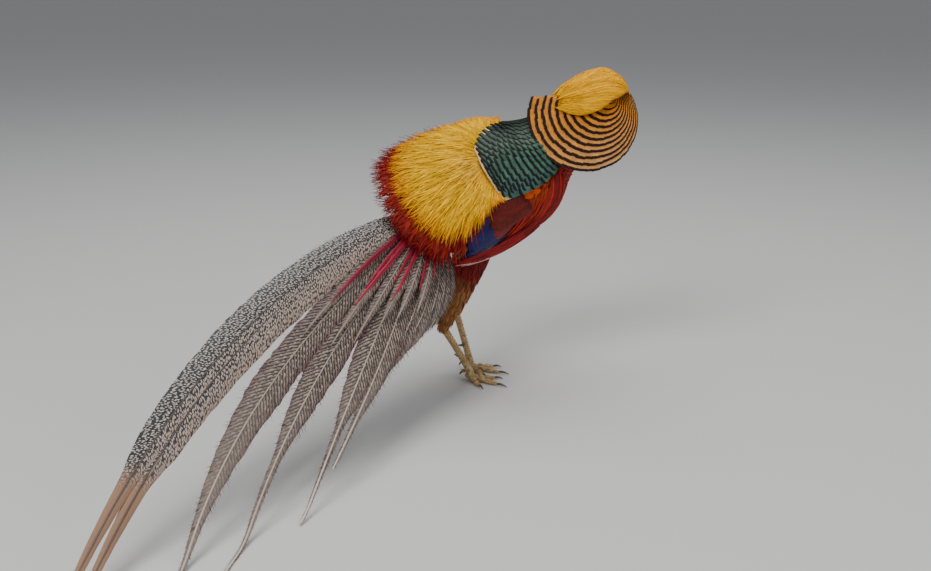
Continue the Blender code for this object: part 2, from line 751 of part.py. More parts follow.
def shield_body(stops, grow=0.0, sides=26):
    """A closed body over the shield, through rings at shares of its reach and heights over its surface."""
    rings = []
    for share, lift in stops:
        ring = []
        for i in range(sides):
            angle = 360 * i / sides
            reach = shield_reach(angle, 1) * share + (grow if share > 0.1 else 0.0)
            ring.append(shield_point(angle, reach, lift))
        rings.append(ring)
    return loft(rings)


def shield_core(grow=0.0):
    """The packed bases of the locks: they fill the room between the shield and the trunk."""
    edge = SHIELD_CORE
    return shield_body(((0.02, 0.0005 + grow), (edge * 0.6, 0.0005 + grow), (edge * 0.92, grow - 0.0010),
                        (edge, -0.0050), (edge * 0.96, -0.0200), (edge * 0.85, -0.0420), (0.02, -0.0450)), grow)


def shield_lock(angle, start, end, lift, half):
    stops = ((0.0, -1.0, 0.75), (0.35, 0.7, 1.0), (0.72, 1.0, 0.78), (1.0, 1.0, 0.14))
    centres = []
    normals = []
    for t, rise, _ in stops:
        spot, normal = shield_frame(angle, mix(start, end, t))
        centres.append(spot + normal * (max(rise, 0.0) * lift + min(rise, 0.0) * SUNK))
        normals.append(normal)
    lean = (centres[-1] - centres[0]).normalized()
    normals = [turned(normal, lean, 2 * TILT) for normal in normals]
    return strip(centres, normals, [half * w for _, _, w in stops], [0.0016, 0.0014, 0.0011, VANE])


def rump_guard():
    """The room that the locks and their core take."""
    plate = shield_body(((0.02, -0.0035), (1.14, -0.0055), (1.14, 0.0095), (0.02, 0.0095)))
    return [plate, shield_core(CLEAR)]


def rump_pieces():
    draw = random.Random(5)
    pieces = [shield_core()]
    span = SHIELD_SPAN[1] - SHIELD_SPAN[0]
    for count, column, root, tip, lift in SHIELD_TIERS:
        for angle in spread(*SHIELD_SPAN, count):
            angle += draw.uniform(-0.12, 0.12) * span / count
            reach = shield_reach(angle, column)
            half = math.radians(span) * reach * tip / count * 0.46
            pieces.append(shield_lock(angle, reach * root, reach * tip * draw.uniform(0.97, 1.01), lift, half))
    return pieces


# Wings: scapulars over tertials over primaries, folded on a thick base

def wing_guard(side):
    """The room that a folded wing takes along the trunk, from the shoulder to the tips of its quills."""
    sign = 1 if side == "right" else -1
    angles = sorted(sign * mix(54, 130, i / 8) for i in range(9))
    return [room(lambda angle: 0.0, lambda angle: 0.60, angles, -0.0040, 0.0200)]


def wing_base(side):
    sign = 1 if side == "right" else -1
    shares = [mix(0.16, 0.48, i / 6) for i in range(7)]
    angles = [sign * mix(46, 106, i / 6) for i in range(7)]
    if sign < 0:
        angles = list(reversed(angles))

    def lift(u, v):
        bulge = math.sin(math.pi * mix(0.12, 0.88, v)) * math.sin(math.pi * mix(0.06, 0.94, u))
        return 0.0015 + 0.0065 * bulge ** 0.6

    return trunk.patch(shares, angles, lift, 0.003)


def wing_pieces(side):
    sign = 1 if side == "right" else -1
    pieces = [wing_base(side)]
    rows = (
        (5, 0.34, 0.30, 84, 108, 0.080, 0.0075, 3.0, 0.0015),
        (5, 0.36, 0.32, 52, 96, 0.060, 0.0095, 6.0, 0.0040),
        (5, 0.43, 0.36, 48, 96, 0.042, 0.0095, 9.0, 0.0050),
        (5, 0.49, 0.40, 48, 96, 0.034, 0.0095, 9.0, 0.0035),
    )
    for count, share_from, share_to, angle_from, angle_to, length, half, rise, high in rows:
        length *= 1.0 if side == "right" else FAR_WING
        for k in range(count):
            t = (k + 0.5) / count
            angle = sign * mix(angle_from, angle_to, t)
            pieces.append(skin_vane(mix(share_from, share_to, t), angle, length, half, ROUND_TIP, rise=rise,
                                    fan=sign * mix(2, -6, t), lift=high, tilt=TILT * sign, curl=0.06))
    return pieces


# Tail

def fan_point(distance, angle, lift=0.0):
    turn = math.radians(angle)
    across = TAIL_AXIS * math.cos(turn) + TAIL_SIDE * math.sin(turn)
    return TAIL_ROOT + across * distance + TAIL_NORMAL * lift


CENTRE_PROFILE = ((0.0, 0.40), (0.10, 0.80), (0.25, 0.92), (0.38, 1.0), (0.50, 0.94), (0.62, 0.82),
                  (0.71, 0.69), (0.78, 0.32), (0.88, 0.21), (1.0, 0.09))


def fan_profile(bare):
    """Widths along a side feather: its vane swells, then runs out to the bare shaft at a share of its length."""
    return ((0.0, 0.35), (0.14, 0.70), (bare * 0.42, 0.95), (bare * 0.68, 1.0), (bare * 0.84, 0.74),
            (bare, 0.34), (mix(bare, 1.0, 0.5), 0.22), (1.0, 0.10))


def tail_feather(length, root_turn, tip_turn, bend, half, layer, profile, sag=0.0):
    start = 0.014
    centres = []
    for t, _ in profile:
        distance = mix(start, length, t)
        angle = mix(root_turn, tip_turn, t ** bend)
        centres.append(fan_point(distance, angle, -layer * TAIL_LAYER - sag * t ** 3))
    for centre in centres:
        centre.z = max(centre.z, VANE / 2)
    normals = [TAIL_NORMAL.lerp(UP, max(0.0, 1 - c.z / FLOOR_EASE)).normalized() for c in centres]
    thicks = [mix(VANE * 1.3, VANE, t) for t, _ in profile]
    return strip(centres, normals, [half * w for _, w in profile], thicks, floor=True)


def tail_core(grow=0.0):
    """The fleshy root: it starts on the trunk's last ring and flattens into the fan."""
    along = trunk.frame(0.0)[1]
    first = [trunk.point(0.0, 360 * i / TRUNK_SIDES, grow) - along * (GAP - grow) for i in range(TRUNK_SIDES)]
    rings = [first]
    for distance, half, high in ((0.022, 0.0215, 0.0125), (0.040, 0.0190, 0.0085), (0.056, 0.0110, 0.0045)):
        middle = fan_point(distance, 8, -0.0040)
        ring = []
        for i in range(TRUNK_SIDES):
            angle = 2 * math.pi * i / TRUNK_SIDES
            ring.append(middle + TAIL_NORMAL * (math.cos(angle) * (high + grow))
                        - TAIL_SIDE * (math.sin(angle) * (half + grow) * -1))
        rings.append(ring)
    return loft(rings)


def tail_guard():
    """The tail's root and the wedge of space that holds the near part of its fan."""
    loops = []
    for distance in (0.012, 0.060, 0.120, 0.190):
        ring = []
        for lift, turns in ((0.0064, (-52, -20, 15, 45, 78)), (-0.0125, (78, 45, 15, -20, -52))):
            ring += [fan_point(distance, turn, lift) for turn in turns]
        loops.append(ring)
    return [tail_core(CLEAR), loft(loops)]


def tail_pieces():
    pieces = [tail_core()]
    root_turn, tip_turn, bend = CENTRE_TURNS
    for k, turn in enumerate((-1.0, 1.0)):
        pieces.append(tail_feather(CENTRE_LENGTH - 0.012 * k, root_turn + turn, tip_turn + turn * 0.45, bend,
                                   CENTRE_HALF, k, CENTRE_PROFILE, CENTRE_SAG))
    for fan in (RIGHT_FAN, LEFT_FAN):
        for length, root_turn, tip_turn, bend, half, bare, layer in fan:
            pieces.append(tail_feather(length, root_turn, tip_turn, bend, half, layer, fan_profile(bare)))
    for length, root_turn, tip_turn in PLUMES:
        profile = ((0.0, 0.6), (0.3, 1.0), (0.7, 0.8), (1.0, 0.15))
        centres = [fan_point(mix(0.016, length, t), mix(root_turn, tip_turn, t ** 0.7), mix(0.0040, 0.0034, t))
                   for t, _ in profile]
        pieces.append(strip(centres, [TAIL_NORMAL] * 4, [0.0048 * w for _, w in profile],
                            [0.0016, 0.0012, 0.0009, VANE]))
    return pieces


# Legs

def thigh_piece(side):
    knee = KNEE[side]
    hock = HOCK[side]
    stops = ((0.0, 0.0245), (0.30, 0.0215), (0.58, 0.0155), (0.82, 0.0098), (0.97, 0.0062))
    points = [mix(knee, hock, t) for t, _ in stops]
    return tube(points, [r for _, r in stops], 14, guide=Vector((1.0, 0.0, 0.0)))


def shank_piece(side, grow=0.0):
    hock = HOCK[side]
    ankle = ANKLE[side]
    stops = ((-0.07, 0.0034), (0.0, 0.0050), (0.10, 0.0040), (0.45, 0.0033), (0.85, 0.0036), (1.0, 0.0046))
    points = [mix(hock, ankle, t) for t, _ in stops]
    return tube(points, [r for _, r in stops], 10, grow, guide=Vector((1.0, 0.0, 0.0)))


def shank_pieces(side):
    """The bare shank with its spur, a blunt cone on the inner back edge."""
    along = (ANKLE[side] - HOCK[side]).normalized()
    inward = Vector((-0.55, 0.50 if side == "right" else -0.50, 0.05)).normalized()
    root = mix(HOCK[side], ANKLE[side], 0.68) + inward * 0.001
    spur = tube([root, root + inward * 0.005, root + inward * 0.0105 - along * 0.0015],
                [0.0022, 0.0016, 0.0004], 8)
    return [shank_piece(side), spur]


def foot_pieces(side, grow=0.0):
    """Three toes forward and one behind, each with knuckles and a claw, flat where they stand."""
    ankle = ANKLE[side]
    centre = Vector((ankle.x, ankle.y, 0.0052))
    pieces = [tube([ankle + Vector((0, 0, 0.0018)), mix(ankle, centre, 0.5), centre - Vector((0, 0, 0.0030))],
                   [0.0046, 0.0056, 0.0058], 10, grow, floor=True, guide=Vector((1.0, 0.0, 0.0)))]
    for turn, length in TOES:
        heading = turned(Vector((1.0, 0.0, 0.0)), UP, TOE_TURN[side] + turn)
        stops = ((0.0, 0.0050, 0.0042), (0.30, 0.0027, 0.0033), (0.42, 0.0030, 0.0037),
                 (0.58, 0.0021, 0.0027), (0.70, 0.0024, 0.0031), (0.98, 0.0017, 0.0022),
                 (1.08, 0.0020, 0.0017), (1.30, 0.0005, 0.0004))
        points = [Vector((centre.x, centre.y, 0)) + heading * (length * t) + UP * high for t, high, _ in stops]
        pieces.append(tube(points, [r for _, _, r in stops], 6, grow, floor=True))
    heading = turned(Vector((-1.0, 0.0, 0.0)), UP, TOE_TURN[side])
    start = ankle + Vector((0, 0, 0.0010))
    stops = ((0.0, 0.0, 0.0026), (0.5, -0.0012, 0.0022), (0.72, -0.0030, 0.0022), (0.86, -0.0046, 0.0013),
             (1.0, -0.0085, 0.0004))
    points = [start + heading * (0.0150 * t) + UP * high for t, high, _ in stops]
    pieces.append(tube(points, [r for _, _, r in stops], 6, grow, floor=True))
    return pieces


# The whole bird

def build():
    clear_scene()
    home = bpy.data.collections.new("golden_pheasant")
    bpy.context.scene.collection.children.link(home)

    made = []
    eyes = [eye_piece("right", CLEAR), eye_piece("left", CLEAR)]
    for side in ("right", "left"):
        made.append(node(f"eye_{side}", "eye", [eye_piece(side)], [], home))
    cuts = [nostril_cut("right"), nostril_cut("left")]
    made.append(node("beak_upper", "horn", [bill_piece(True)], cuts, home))
    made.append(node("beak_lower", "horn", [bill_piece(False)], [], home))
    made.append(node("head", "crest", head_pieces(), eyes, home))
    made.append(node("neck", "cape", neck_pieces(), head_guard() + eyes, home))
    made.append(node("torso", "mantle", torso_pieces(), neck_guard(), home))
    made.append(node("tail", "tail", tail_pieces(), [], home))
    made.append(node("rump", "rump", rump_pieces(), torso_guard() + tail_guard(), home))
    for side in ("right", "left"):
        wing_cuts = torso_guard() + rump_guard() + neck_guard() + tail_guard()
        made.append(node(f"wing_{side}", "wing", wing_pieces(side), wing_cuts, home))
        thigh_cuts = [torso_guard()[0], *wing_guard(side), shank_piece(side, CLEAR)]
        made.append(node(f"thigh_{side}", "thigh", [thigh_piece(side)], thigh_cuts, home))
        made.append(node(f"shank_{side}", "leg", shank_pieces(side), foot_pieces(side, CLEAR), home))
        made.append(node(f"foot_{side}", "leg", foot_pieces(side), [], home))
    print("total", sum(len(item.data.polygons) for item in made))
    return made


def stand_on_origin(made):
    """Move every node so that the middle of the whole bird's footprint is the origin."""
    low = Vector((math.inf,) * 3)
    high = -low
    for item in made:
        for vertex in item.data.vertices:
            for axis in range(3):
                low[axis] = min(low[axis], vertex.co[axis])
                high[axis] = max(high[axis], vertex.co[axis])
    shift = Vector((-(low.x + high.x) / 2, -(low.y + high.y) / 2, -low.z))
    print("box", low, high, "shift", shift)
    for item in made:
        item.data.transform(Matrix.Translation(shift))


stand_on_origin(build())
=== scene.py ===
import math
import bpy
import numpy as np
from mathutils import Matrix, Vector, kdtree


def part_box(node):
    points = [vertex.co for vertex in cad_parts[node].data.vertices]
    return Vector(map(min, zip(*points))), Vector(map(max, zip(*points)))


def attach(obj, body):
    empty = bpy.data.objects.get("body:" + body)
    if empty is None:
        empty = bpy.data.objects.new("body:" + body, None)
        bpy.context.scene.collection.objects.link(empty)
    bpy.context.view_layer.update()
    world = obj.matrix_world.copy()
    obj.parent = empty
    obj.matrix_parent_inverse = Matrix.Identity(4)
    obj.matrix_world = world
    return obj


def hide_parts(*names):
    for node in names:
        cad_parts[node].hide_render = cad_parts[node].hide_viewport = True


# A male golden pheasant in its sideways display. Every place below is in the bird's own metres:
# x the way it faces, y away from the camera, z up from the floor. placeHome moves it onto the frame.
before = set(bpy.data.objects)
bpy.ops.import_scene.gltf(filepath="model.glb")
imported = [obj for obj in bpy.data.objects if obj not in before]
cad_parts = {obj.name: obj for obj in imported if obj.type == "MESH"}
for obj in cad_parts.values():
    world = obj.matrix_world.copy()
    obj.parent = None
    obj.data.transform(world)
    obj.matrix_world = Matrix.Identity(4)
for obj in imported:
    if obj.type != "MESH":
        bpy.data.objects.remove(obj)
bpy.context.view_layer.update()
dice = np.random.default_rng(7)
up = np.array((0.0, 0.0, 1.0))
sides = dict(right=1, left=-1)


# Small helpers for places and colours

def paint(red, green, blue):
    return tuple(((c / 255 + 0.055) / 1.055) ** 2.4 if c > 10 else c / 3295 for c in (red, green, blue))


def unit(vectors):
    return vectors / np.maximum(np.linalg.norm(vectors, axis=-1, keepdims=True), 1e-9)


def turned(vectors, axis, degrees):
    angle = np.radians(np.asarray(degrees, float))[..., None]
    dot = (axis * vectors).sum(-1, keepdims=True)
    return vectors * np.cos(angle) + np.cross(axis, vectors) * np.sin(angle) + axis * dot * (1 - np.cos(angle))


def mix(first, second, share):
    return first + (second - first) * share


def mixRows(first, second, share):
    return mix(np.asarray(first, float), np.asarray(second, float), np.asarray(share, float)[..., None])


def ramp(value, low, high):
    return np.clip((value - low) / (high - low), 0, 1)


def hump(value, middle, width):
    return np.exp(-((value - middle) / width) ** 2)


def within(value, low, high):
    return (value > low) & (value < high)


def flat(*values):
    # values of unlike shapes, as rows of floats of one length
    return [np.ravel(a).astype(float) for a in np.broadcast_arrays(*values)]


def grid(first, second):
    return [a.ravel() for a in np.meshgrid(first, second)]


def circle(degrees):
    turn = np.radians(degrees)[:, None]
    return np.cos(turn), np.sin(turn)


def halfTurn(angle):
    # the same angle, between -180 and 180
    return (np.asarray(angle, float) + 180) % 360 - 180


def readTable(rows, value, column=1, key=0):
    rows = np.array(rows)
    return np.interp(value, rows[:, key], rows[:, column])


def spreadEvenly(low, high, count):
    return mix(low, high, (np.arange(count) + 0.5) / count)


def smoothRow(rows, share):
    # a smooth run through the rows of a table, read at shares from 0 to 1
    rows = np.asarray(rows, float)
    last = len(rows) - 1
    place = np.clip(share, 0, 1) * last
    k = np.minimum(place.astype(int), last - 1)
    t = (place - k)[:, None]
    p1 = rows[k]
    p2 = rows[k + 1]
    p0 = np.where((k > 0)[:, None], rows[np.maximum(k - 1, 0)], 2 * p1 - p2)
    p3 = np.where((k + 2 <= last)[:, None], rows[np.minimum(k + 2, last)], 2 * p2 - p1)
    return 0.5 * (2 * p1 + (p2 - p0) * t + (2 * p0 - 5 * p1 + 4 * p2 - p3) * t ** 2
                  + (3 * p1 - p0 - 3 * p2 + p3) * t ** 3)


# The shapes that the coat grows on

# centre x, y, z, half width, height above and below, roll of the back towards the camera
bodyShape = dict(
    stations=((-0.058, -0.050, 0.2120, 0.019, 0.014, 0.019, 42), (-0.034, -0.034, 0.2210, 0.046, 0.036, 0.048, 44),
              (-0.001, -0.015, 0.2320, 0.060, 0.053, 0.066, 45), (0.047, 0.000, 0.2510, 0.055, 0.050, 0.062, 45),
              (0.083, 0.010, 0.2760, 0.036, 0.035, 0.040, 40), (0.112, 0.014, 0.3000, 0.022, 0.023, 0.024, 32),
              (0.134, 0.016, 0.3220, 0.012, 0.012, 0.012, 20)),
    length=0.236)
headShape = dict(
    at=np.array((0.1415, 0.0160, 0.3320)), aim=np.array((0.78, 0.50, -0.38)), roll=15,
    rings=((-0.0230, 0.0070, 0.0080, 0.0080), (-0.0170, 0.0118, 0.0130, 0.0125), (-0.0070, 0.0145, 0.0160, 0.0150),
           (0.0040, 0.0142, 0.0155, 0.0150), (0.0140, 0.0110, 0.0118, 0.0125), (0.0205, 0.0066, 0.0070, 0.0082)))
eyeShape = dict(radius=0.0046, out=0.0110, up=0.0058, forward=0.0060, pupil=26, iris=62)


def bodyFrame(share):
    share = np.asarray(share, float)
    rows = bodyShape["stations"]
    low = smoothRow(rows, np.maximum(share, 0) - 0.01)[:, :3]
    high = smoothRow(rows, np.maximum(share, 0) + 0.01)[:, :3]
    along = unit(high - low)
    value = smoothRow(rows, share)
    centre = value[:, :3] + along * (np.minimum(share, 0) * bodyShape["length"])[:, None]
    level = unit(up - along * along[:, 2:])
    back = turned(level, along, value[:, 6])
    return centre, along, np.cross(along, back), back, value


def onBody(share, angle, lift=0.0):
    # the skin at an angle from the back, 90 on the bird's right, with the way that its surface faces
    share, angle, lift = flat(share, angle, lift)
    centre, _, right, back, value = bodyFrame(share)
    cos, sin = circle(angle)
    half = value[:, 3:4]
    height = np.where(cos > 0, value[:, 4:5], value[:, 5:6])
    normal = unit(back * cos * half + right * sin * height)
    return centre + back * cos * height + right * sin * half + normal * lift[:, None], normal


def wayBack(share, angle):
    spot, normal = onBody(share, angle)
    along = onBody(np.asarray(share) - 0.02, angle)[0] - spot
    return unit(along - normal * (along * normal).sum(-1, keepdims=True))


def axesOf(aim):
    aim = unit(aim)
    right = unit(np.cross(aim, up))
    top = turned(np.cross(right, aim), aim, headShape["roll"])
    return aim, np.cross(aim, top), top


def headAxes():
    return axesOf(headShape["aim"])


def onHead(forward, angle, lift=0.0):
    forward, angle, lift = flat(forward, angle, lift)
    aim, right, top = headAxes()
    rings = headShape["rings"]
    half, high, low = (readTable(rings, forward, k)[:, None] for k in (1, 2, 3))
    cos, sin = circle(angle)
    out = top * cos * np.where(cos > 0, high, low) + right * sin * half
    step = 0.002
    slope = (readTable(rings, forward + step) - readTable(rings, forward - step))[:, None] / (2 * step)
    normal = unit(unit(out) - aim * slope)
    return headShape["at"] + aim * forward[:, None] + out + normal * lift[:, None], normal


def eyePlace(side):
    aim, right, top = headAxes()
    return (headShape["at"] + aim * eyeShape["forward"] + right * (sides[side] * eyeShape["out"])
            + top * eyeShape["up"])


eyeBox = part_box("eye_right")
home = (np.array(eyeBox[0]) + np.array(eyeBox[1])) / 2 - eyePlace("right")
print("home", home)

# the shield of hair-like feathers on the lower back; edge: angle from straight back, reach of the gold and
# of the scarlet; start: angle, reach where the strands root
shieldShape = dict(
    at=np.array((0.0203, -0.0470, 0.2818)), out=np.array((0.2099, -0.6957, 0.6870)),
    back=np.array((-0.8219, -0.5060, -0.2614)), side=np.array((0.5295, -0.5098, -0.6780)),
    swell=0.004, swellReach=0.05, sideDrop=6.0, backDrop=1.7,
    edge=((-125, 0.043, 0.044), (-110, 0.046, 0.047), (-90, 0.054, 0.056), (-70, 0.063, 0.066), (-52, 0.082, 0.092),
          (-40, 0.106, 0.121), (-25, 0.117, 0.134), (-5, 0.125, 0.141), (12, 0.127, 0.143), (25, 0.122, 0.138),
          (34, 0.109, 0.128), (42, 0.085, 0.092), (50, 0.061, 0.064), (62, 0.050, 0.051)),
    start=((-122, 0.042), (-110, 0.038), (-101, 0.033), (-56, 0.024), (-5, 0.031), (23, 0.040), (44, 0.046),
           (64, 0.050)))


def onShield(turn, reach, lift=0.0):
    turn, reach, lift = flat(turn, reach, lift)
    side = np.sin(np.radians(turn)) * reach
    back = np.cos(np.radians(turn)) * reach
    sideDrop, backDrop = shieldShape["sideDrop"], shieldShape["backDrop"]
    rise = (shieldShape["swell"] * np.sin(np.clip(reach / shieldShape["swellReach"], 0, 1) * math.pi / 2)
            - sideDrop * side ** 2 - backDrop * back ** 2)
    spot = (shieldShape["at"] + shieldShape["side"] * side[:, None] + shieldShape["back"] * back[:, None]
            + shieldShape["out"] * rise[:, None])
    normal = unit(shieldShape["out"] + shieldShape["side"] * (2 * sideDrop * side)[:, None]
                  + shieldShape["back"] * (2 * backDrop * back)[:, None])
    return spot + normal * lift[:, None], normal


def shieldReach(turn, column):
    return readTable(shieldShape["edge"], turn, column)


# the cape: a plate of square-tipped feathers round the eye, tips on a circle that is off the eye
capeShape = dict(eye=np.array((0.1485, -0.0040, 0.3370)), slopeX=0.09, slopeZ=0.50, radius=0.0635,
                 shift=(-0.0345, 0.0236), dome=0.0040, turns=(-13, 179))


def capeAxes():
    face = unit(np.array((capeShape["slopeX"], -1.0, capeShape["slopeZ"])))
    ahead = unit(np.array((1.0, capeShape["slopeX"], 0.0)))
    ahead = unit(ahead - face * (ahead @ face))
    down = np.cross(face, ahead)
    return ahead, down if down[2] < 0 else -down, face


def capeReach(turn):
    turn = np.radians(turn)
    shiftX, shiftY = capeShape["shift"]
    along = np.cos(turn) * shiftX + np.sin(turn) * shiftY
    return along + np.sqrt(along ** 2 - shiftX ** 2 - shiftY ** 2 + capeShape["radius"] ** 2)


def onCape(reach, turn, lift=0.0):
    reach, turn, lift = flat(reach, turn, lift)
    ahead, down, face = capeAxes()
    x = reach * np.cos(np.radians(turn))
    y = reach * np.sin(np.radians(turn))
    off = ((x - capeShape["shift"][0]) ** 2 + (y - capeShape["shift"][1]) ** 2) / capeShape["radius"] ** 2
    return (capeShape["eye"] + ahead * x[:, None] + down * y[:, None]
            + face * (capeShape["dome"] * (1 - off) + lift)[:, None])


# the crest: a dome of silky strands, its front pole on the forehead; far and near: angle back from the pole,
# how far down the strands reach on the two sides there
crestShape = dict(at=np.array((0.1335, 0.0010, 0.3360)), aim=np.array((0.93, 0.30, -0.05)),
                  half=(0.0360, 0.0330, 0.0330), rear=0.0520, sink=0.007, lower=0.30, turns=(-112, 114),
                  far=((0, 40), (40, 62), (70, 74), (95, 92), (120, 112), (170, 114)),
                  near=((0, 34), (30, 46), (60, 64), (82, 72), (100, 92), (122, 110), (170, 114)))


def onCrest(theta, turn, scale=1.0):
    theta, turn, scale = flat(theta, turn, scale)
    aim, right, top = axesOf(crestShape["aim"])
    ahead, away = circle(theta)
    cos, sin = circle(turn)
    along, across, high = crestShape["half"]
    along = np.where(ahead > 0, along, crestShape["rear"])
    behind = np.clip(-ahead, 0, 1)
    offset = (aim * ahead * along + right * away * sin * across
              + top * (away * cos * high * (1 - crestShape["lower"] * behind) - crestShape["sink"] * behind ** 1.3))
    normal = unit(aim * ahead / along + right * away * sin / across + top * away * cos / high)
    return crestShape["at"] + offset * scale[:, None], normal


# the tail fan: its root, the way its upper face looks and the way the long central pair points; each feather
# has a length, its turn at the root and at the tip, the bend between them, half width, bare share and layer
tailShape = dict(
    root=np.array((-0.058, -0.050, 0.2120)), face=unit(np.array((0.523, -0.559, 0.646))),
    axis=unit(np.array((-0.4663, -0.8200, -0.3320))), layer=0.00108, start=0.014, floorEase=0.035, floorSoft=0.012,
    right=((0.548, -2, 8.0, 2.2, 0.0170, 0.86, 2), (0.522, 5, 12.2, 2.0, 0.0170, 0.70, 3),
           (0.420, 14.6, 15.8, 1.5, 0.0160, 0.72, 4), (0.350, 23, 17.0, 0.8, 0.0150, 0.80, 5),
           (0.295, 31, 16.0, 0.8, 0.0145, 0.88, 6), (0.250, 39, 18.5, 0.8, 0.0140, 0.90, 7),
           (0.208, 52, 22.0, 0.8, 0.0130, 0.92, 8), (0.172, 64, 28.0, 0.8, 0.0120, 0.92, 9),
           (0.146, 74, 36.0, 0.8, 0.0100, 0.94, 10), (0.118, 82, 46.0, 0.8, 0.0090, 0.94, 11)),
    left=((0.470, -21, -2.0, 0.8, 0.0150, 0.84, 2.5), (0.480, -22, -4.0, 0.8, 0.0150, 0.84, 3.5),
          (0.410, -23, -6.5, 0.8, 0.0150, 0.84, 4.5), (0.340, -24, -9.0, 0.8, 0.0145, 0.86, 5.5),
          (0.285, -25, -11.0, 0.8, 0.0140, 0.88, 6.5), (0.240, -26, -13.0, 0.8, 0.0135, 0.90, 7.5),
          (0.200, -27, -15.0, 0.8, 0.0130, 0.92, 8.5), (0.168, -28, -17.0, 0.8, 0.0120, 0.92, 9.5)),
    coverts=((0.250, -9, -1.5, 0.8, 0.0060, 0.90, -1.6), (0.236, 1, 5.0, 0.8, 0.0060, 0.90, -1.9),
             (0.215, 9, 9.5, 0.8, 0.0060, 0.90, -1.6), (0.186, 18, 14.0, 0.8, 0.0060, 0.90, -1.9),
             (0.162, 28, 19.0, 0.8, 0.0060, 0.90, -1.6), (0.140, 40, 27.0, 0.8, 0.0060, 0.90, -1.9)),
    middle=dict(length=0.622, half=0.0205, sag=0.009, turn=-19, tip=2.0, bend=0.95))
tailShape["side"] = np.cross(tailShape["face"], tailShape["axis"])


def onFan(distance, turn, lift=0.0):
    distance, turn, lift = flat(distance, turn, lift)
    cos, sin = circle(turn)
    across = tailShape["axis"] * cos + tailShape["side"] * sin
    return tailShape["root"] + across * distance[:, None] + tailShape["face"] * lift[:, None]


# Feathers and locks: thin closed vanes swept along lines, many in one mesh

# what a vane is where its own look says nothing else
plainLook = dict(across=2, camber=0.2, thick=0.0004, ragged=0.0, floor=False, patchSize=(0.003, 0.003), fade=1.5,
                 tone=None, lengths=1.0, rise=6.0, curl=0.05, sweep=0.0, tilt=0.0)


def vanesFromLines(lines, normals, halves, stops, look):
    # lines and normals are feathers x stops x 3, halves feathers x stops
    look = dict(plainLook, **look)
    count, steps = halves.shape
    stops = np.asarray(stops, float)
    across = look["across"]
    before = np.concatenate((lines[:, :1], lines[:, :-1]), 1)
    after = np.concatenate((lines[:, 1:], lines[:, -1:]), 1)
    tangent = unit(after - before)
    side = unit(np.cross(tangent, normals))
    face = np.cross(side, tangent)
    top = np.linspace(-1, 1, across + 1)
    ring = np.concatenate((top, top[-2:0:-1]))
    upper = np.concatenate((np.ones(across + 1), -np.ones(across - 1)))
    upper[0] = 0
    upper[across] = 0
    reach = halves[..., None] * ring
    size = np.broadcast_to(reach, (count, steps, len(ring)))
    depth = look["camber"] * halves[..., None] * (1 - ring ** 2) + upper * look["thick"] / 2
    if look["ragged"]:
        edge = (np.abs(ring) == 1) * dice.uniform(-look["ragged"], look["ragged"], size.shape)
        reach = reach * (1 + edge)
    points = lines[:, :, None] + side[:, :, None] * reach[..., None] + face[:, :, None] * depth[..., None]
    if "skew" in look:
        points = points + tangent[:, :, None] * (reach * look["skew"][:, None, None] * stops[None, :, None])[..., None]
    if look["floor"]:
        points[..., 2] = np.maximum(points[..., 2], np.where(upper > 0, 0.0006, 0.0))
    around = len(ring)
    corners = []
    for start in range(0, (steps - 1) * around, around):
        for i in range(around):
            j = (i + 1) % around
            corners.append((start + i, start + j, start + around + j))
            corners.append((start + i, start + around + j, start + around + i))
    last = (steps - 1) * around
    for i in range(1, around - 1):
        corners.append((0, i + 1, i))
        corners.append((last, last + i, last + i + 1))
    corners = np.array(corners)[None] + (np.arange(count) * steps * around)[:, None, None]
    acrossUv = np.broadcast_to((ring + 1) / 2, size.shape)
    alongUv = np.broadcast_to(stops[None, :, None], size.shape)
    patch = np.asarray(look["patch"], float)[:, None, None, :]
    width, height = look["patchSize"]
    bake = np.stack((patch[..., 0] + (acrossUv - 0.5) * width, patch[..., 1] + (alongUv - 0.5) * height), -1)
    tint = mixRows(np.asarray(look["tint"])[:, None], np.asarray(look.get("tip", look["tint"]))[:, None],
                   stops ** look["fade"] * np.ones((count, 1)))
    tone = dice.random(count) if look["tone"] is None else look["tone"]
    rim = np.zeros(around)
    rim[0] = 1
    rim[across] = 2
    lengths = np.broadcast_to(look["lengths"], count)[:, None, None] * alongUv
    return dict(
        points=points.reshape(-1, 3), corners=corners.reshape(-1, 3),
        vane=np.stack((acrossUv, alongUv), -1).reshape(-1, 2), bake=bake.reshape(-1, 2),
        tint=np.broadcast_to(tint[:, :, None], (*size.shape, 3)).reshape(-1, 3),
        tone=np.broadcast_to(tone[:, None, None], size.shape).ravel(),
        size=np.stack((size, lengths), -1).reshape(-1, 2), rim=np.broadcast_to(rim, size.shape).ravel())


def growVanes(root, along, normal, length, half, profile, look):
    # straight growth from a root: it rises from the skin, bends back to it and may sweep sideways
    look = dict(plainLook, **look)
    count = len(root)
    stops, widths = np.array(profile).T
    length = np.broadcast_to(length, count).astype(float)
    normal = unit(normal - along * (normal * along).sum(-1, keepdims=True))
    across = np.cross(along, normal)
    rise = np.sin(np.radians(np.broadcast_to(look["rise"], count)))[:, None]
    curl = np.broadcast_to(look["curl"], count)[:, None]
    sweep = np.broadcast_to(look["sweep"], count)[:, None]
    run = length[:, None] * stops
    climb = length[:, None] * (rise * stops - curl * stops ** 2)
    drift = length[:, None] * sweep * stops ** 2
    lines = (root[:, None] + along[:, None] * run[..., None] + normal[:, None] * climb[..., None]
             + across[:, None] * drift[..., None])
    lean = turned(normal, along, np.broadcast_to(look["tilt"], count))
    normals = np.broadcast_to(lean[:, None], lines.shape)
    halves = np.broadcast_to(half, count)[:, None] * widths
    return vanesFromLines(lines, normals, halves, stops, dict(look, lengths=length))


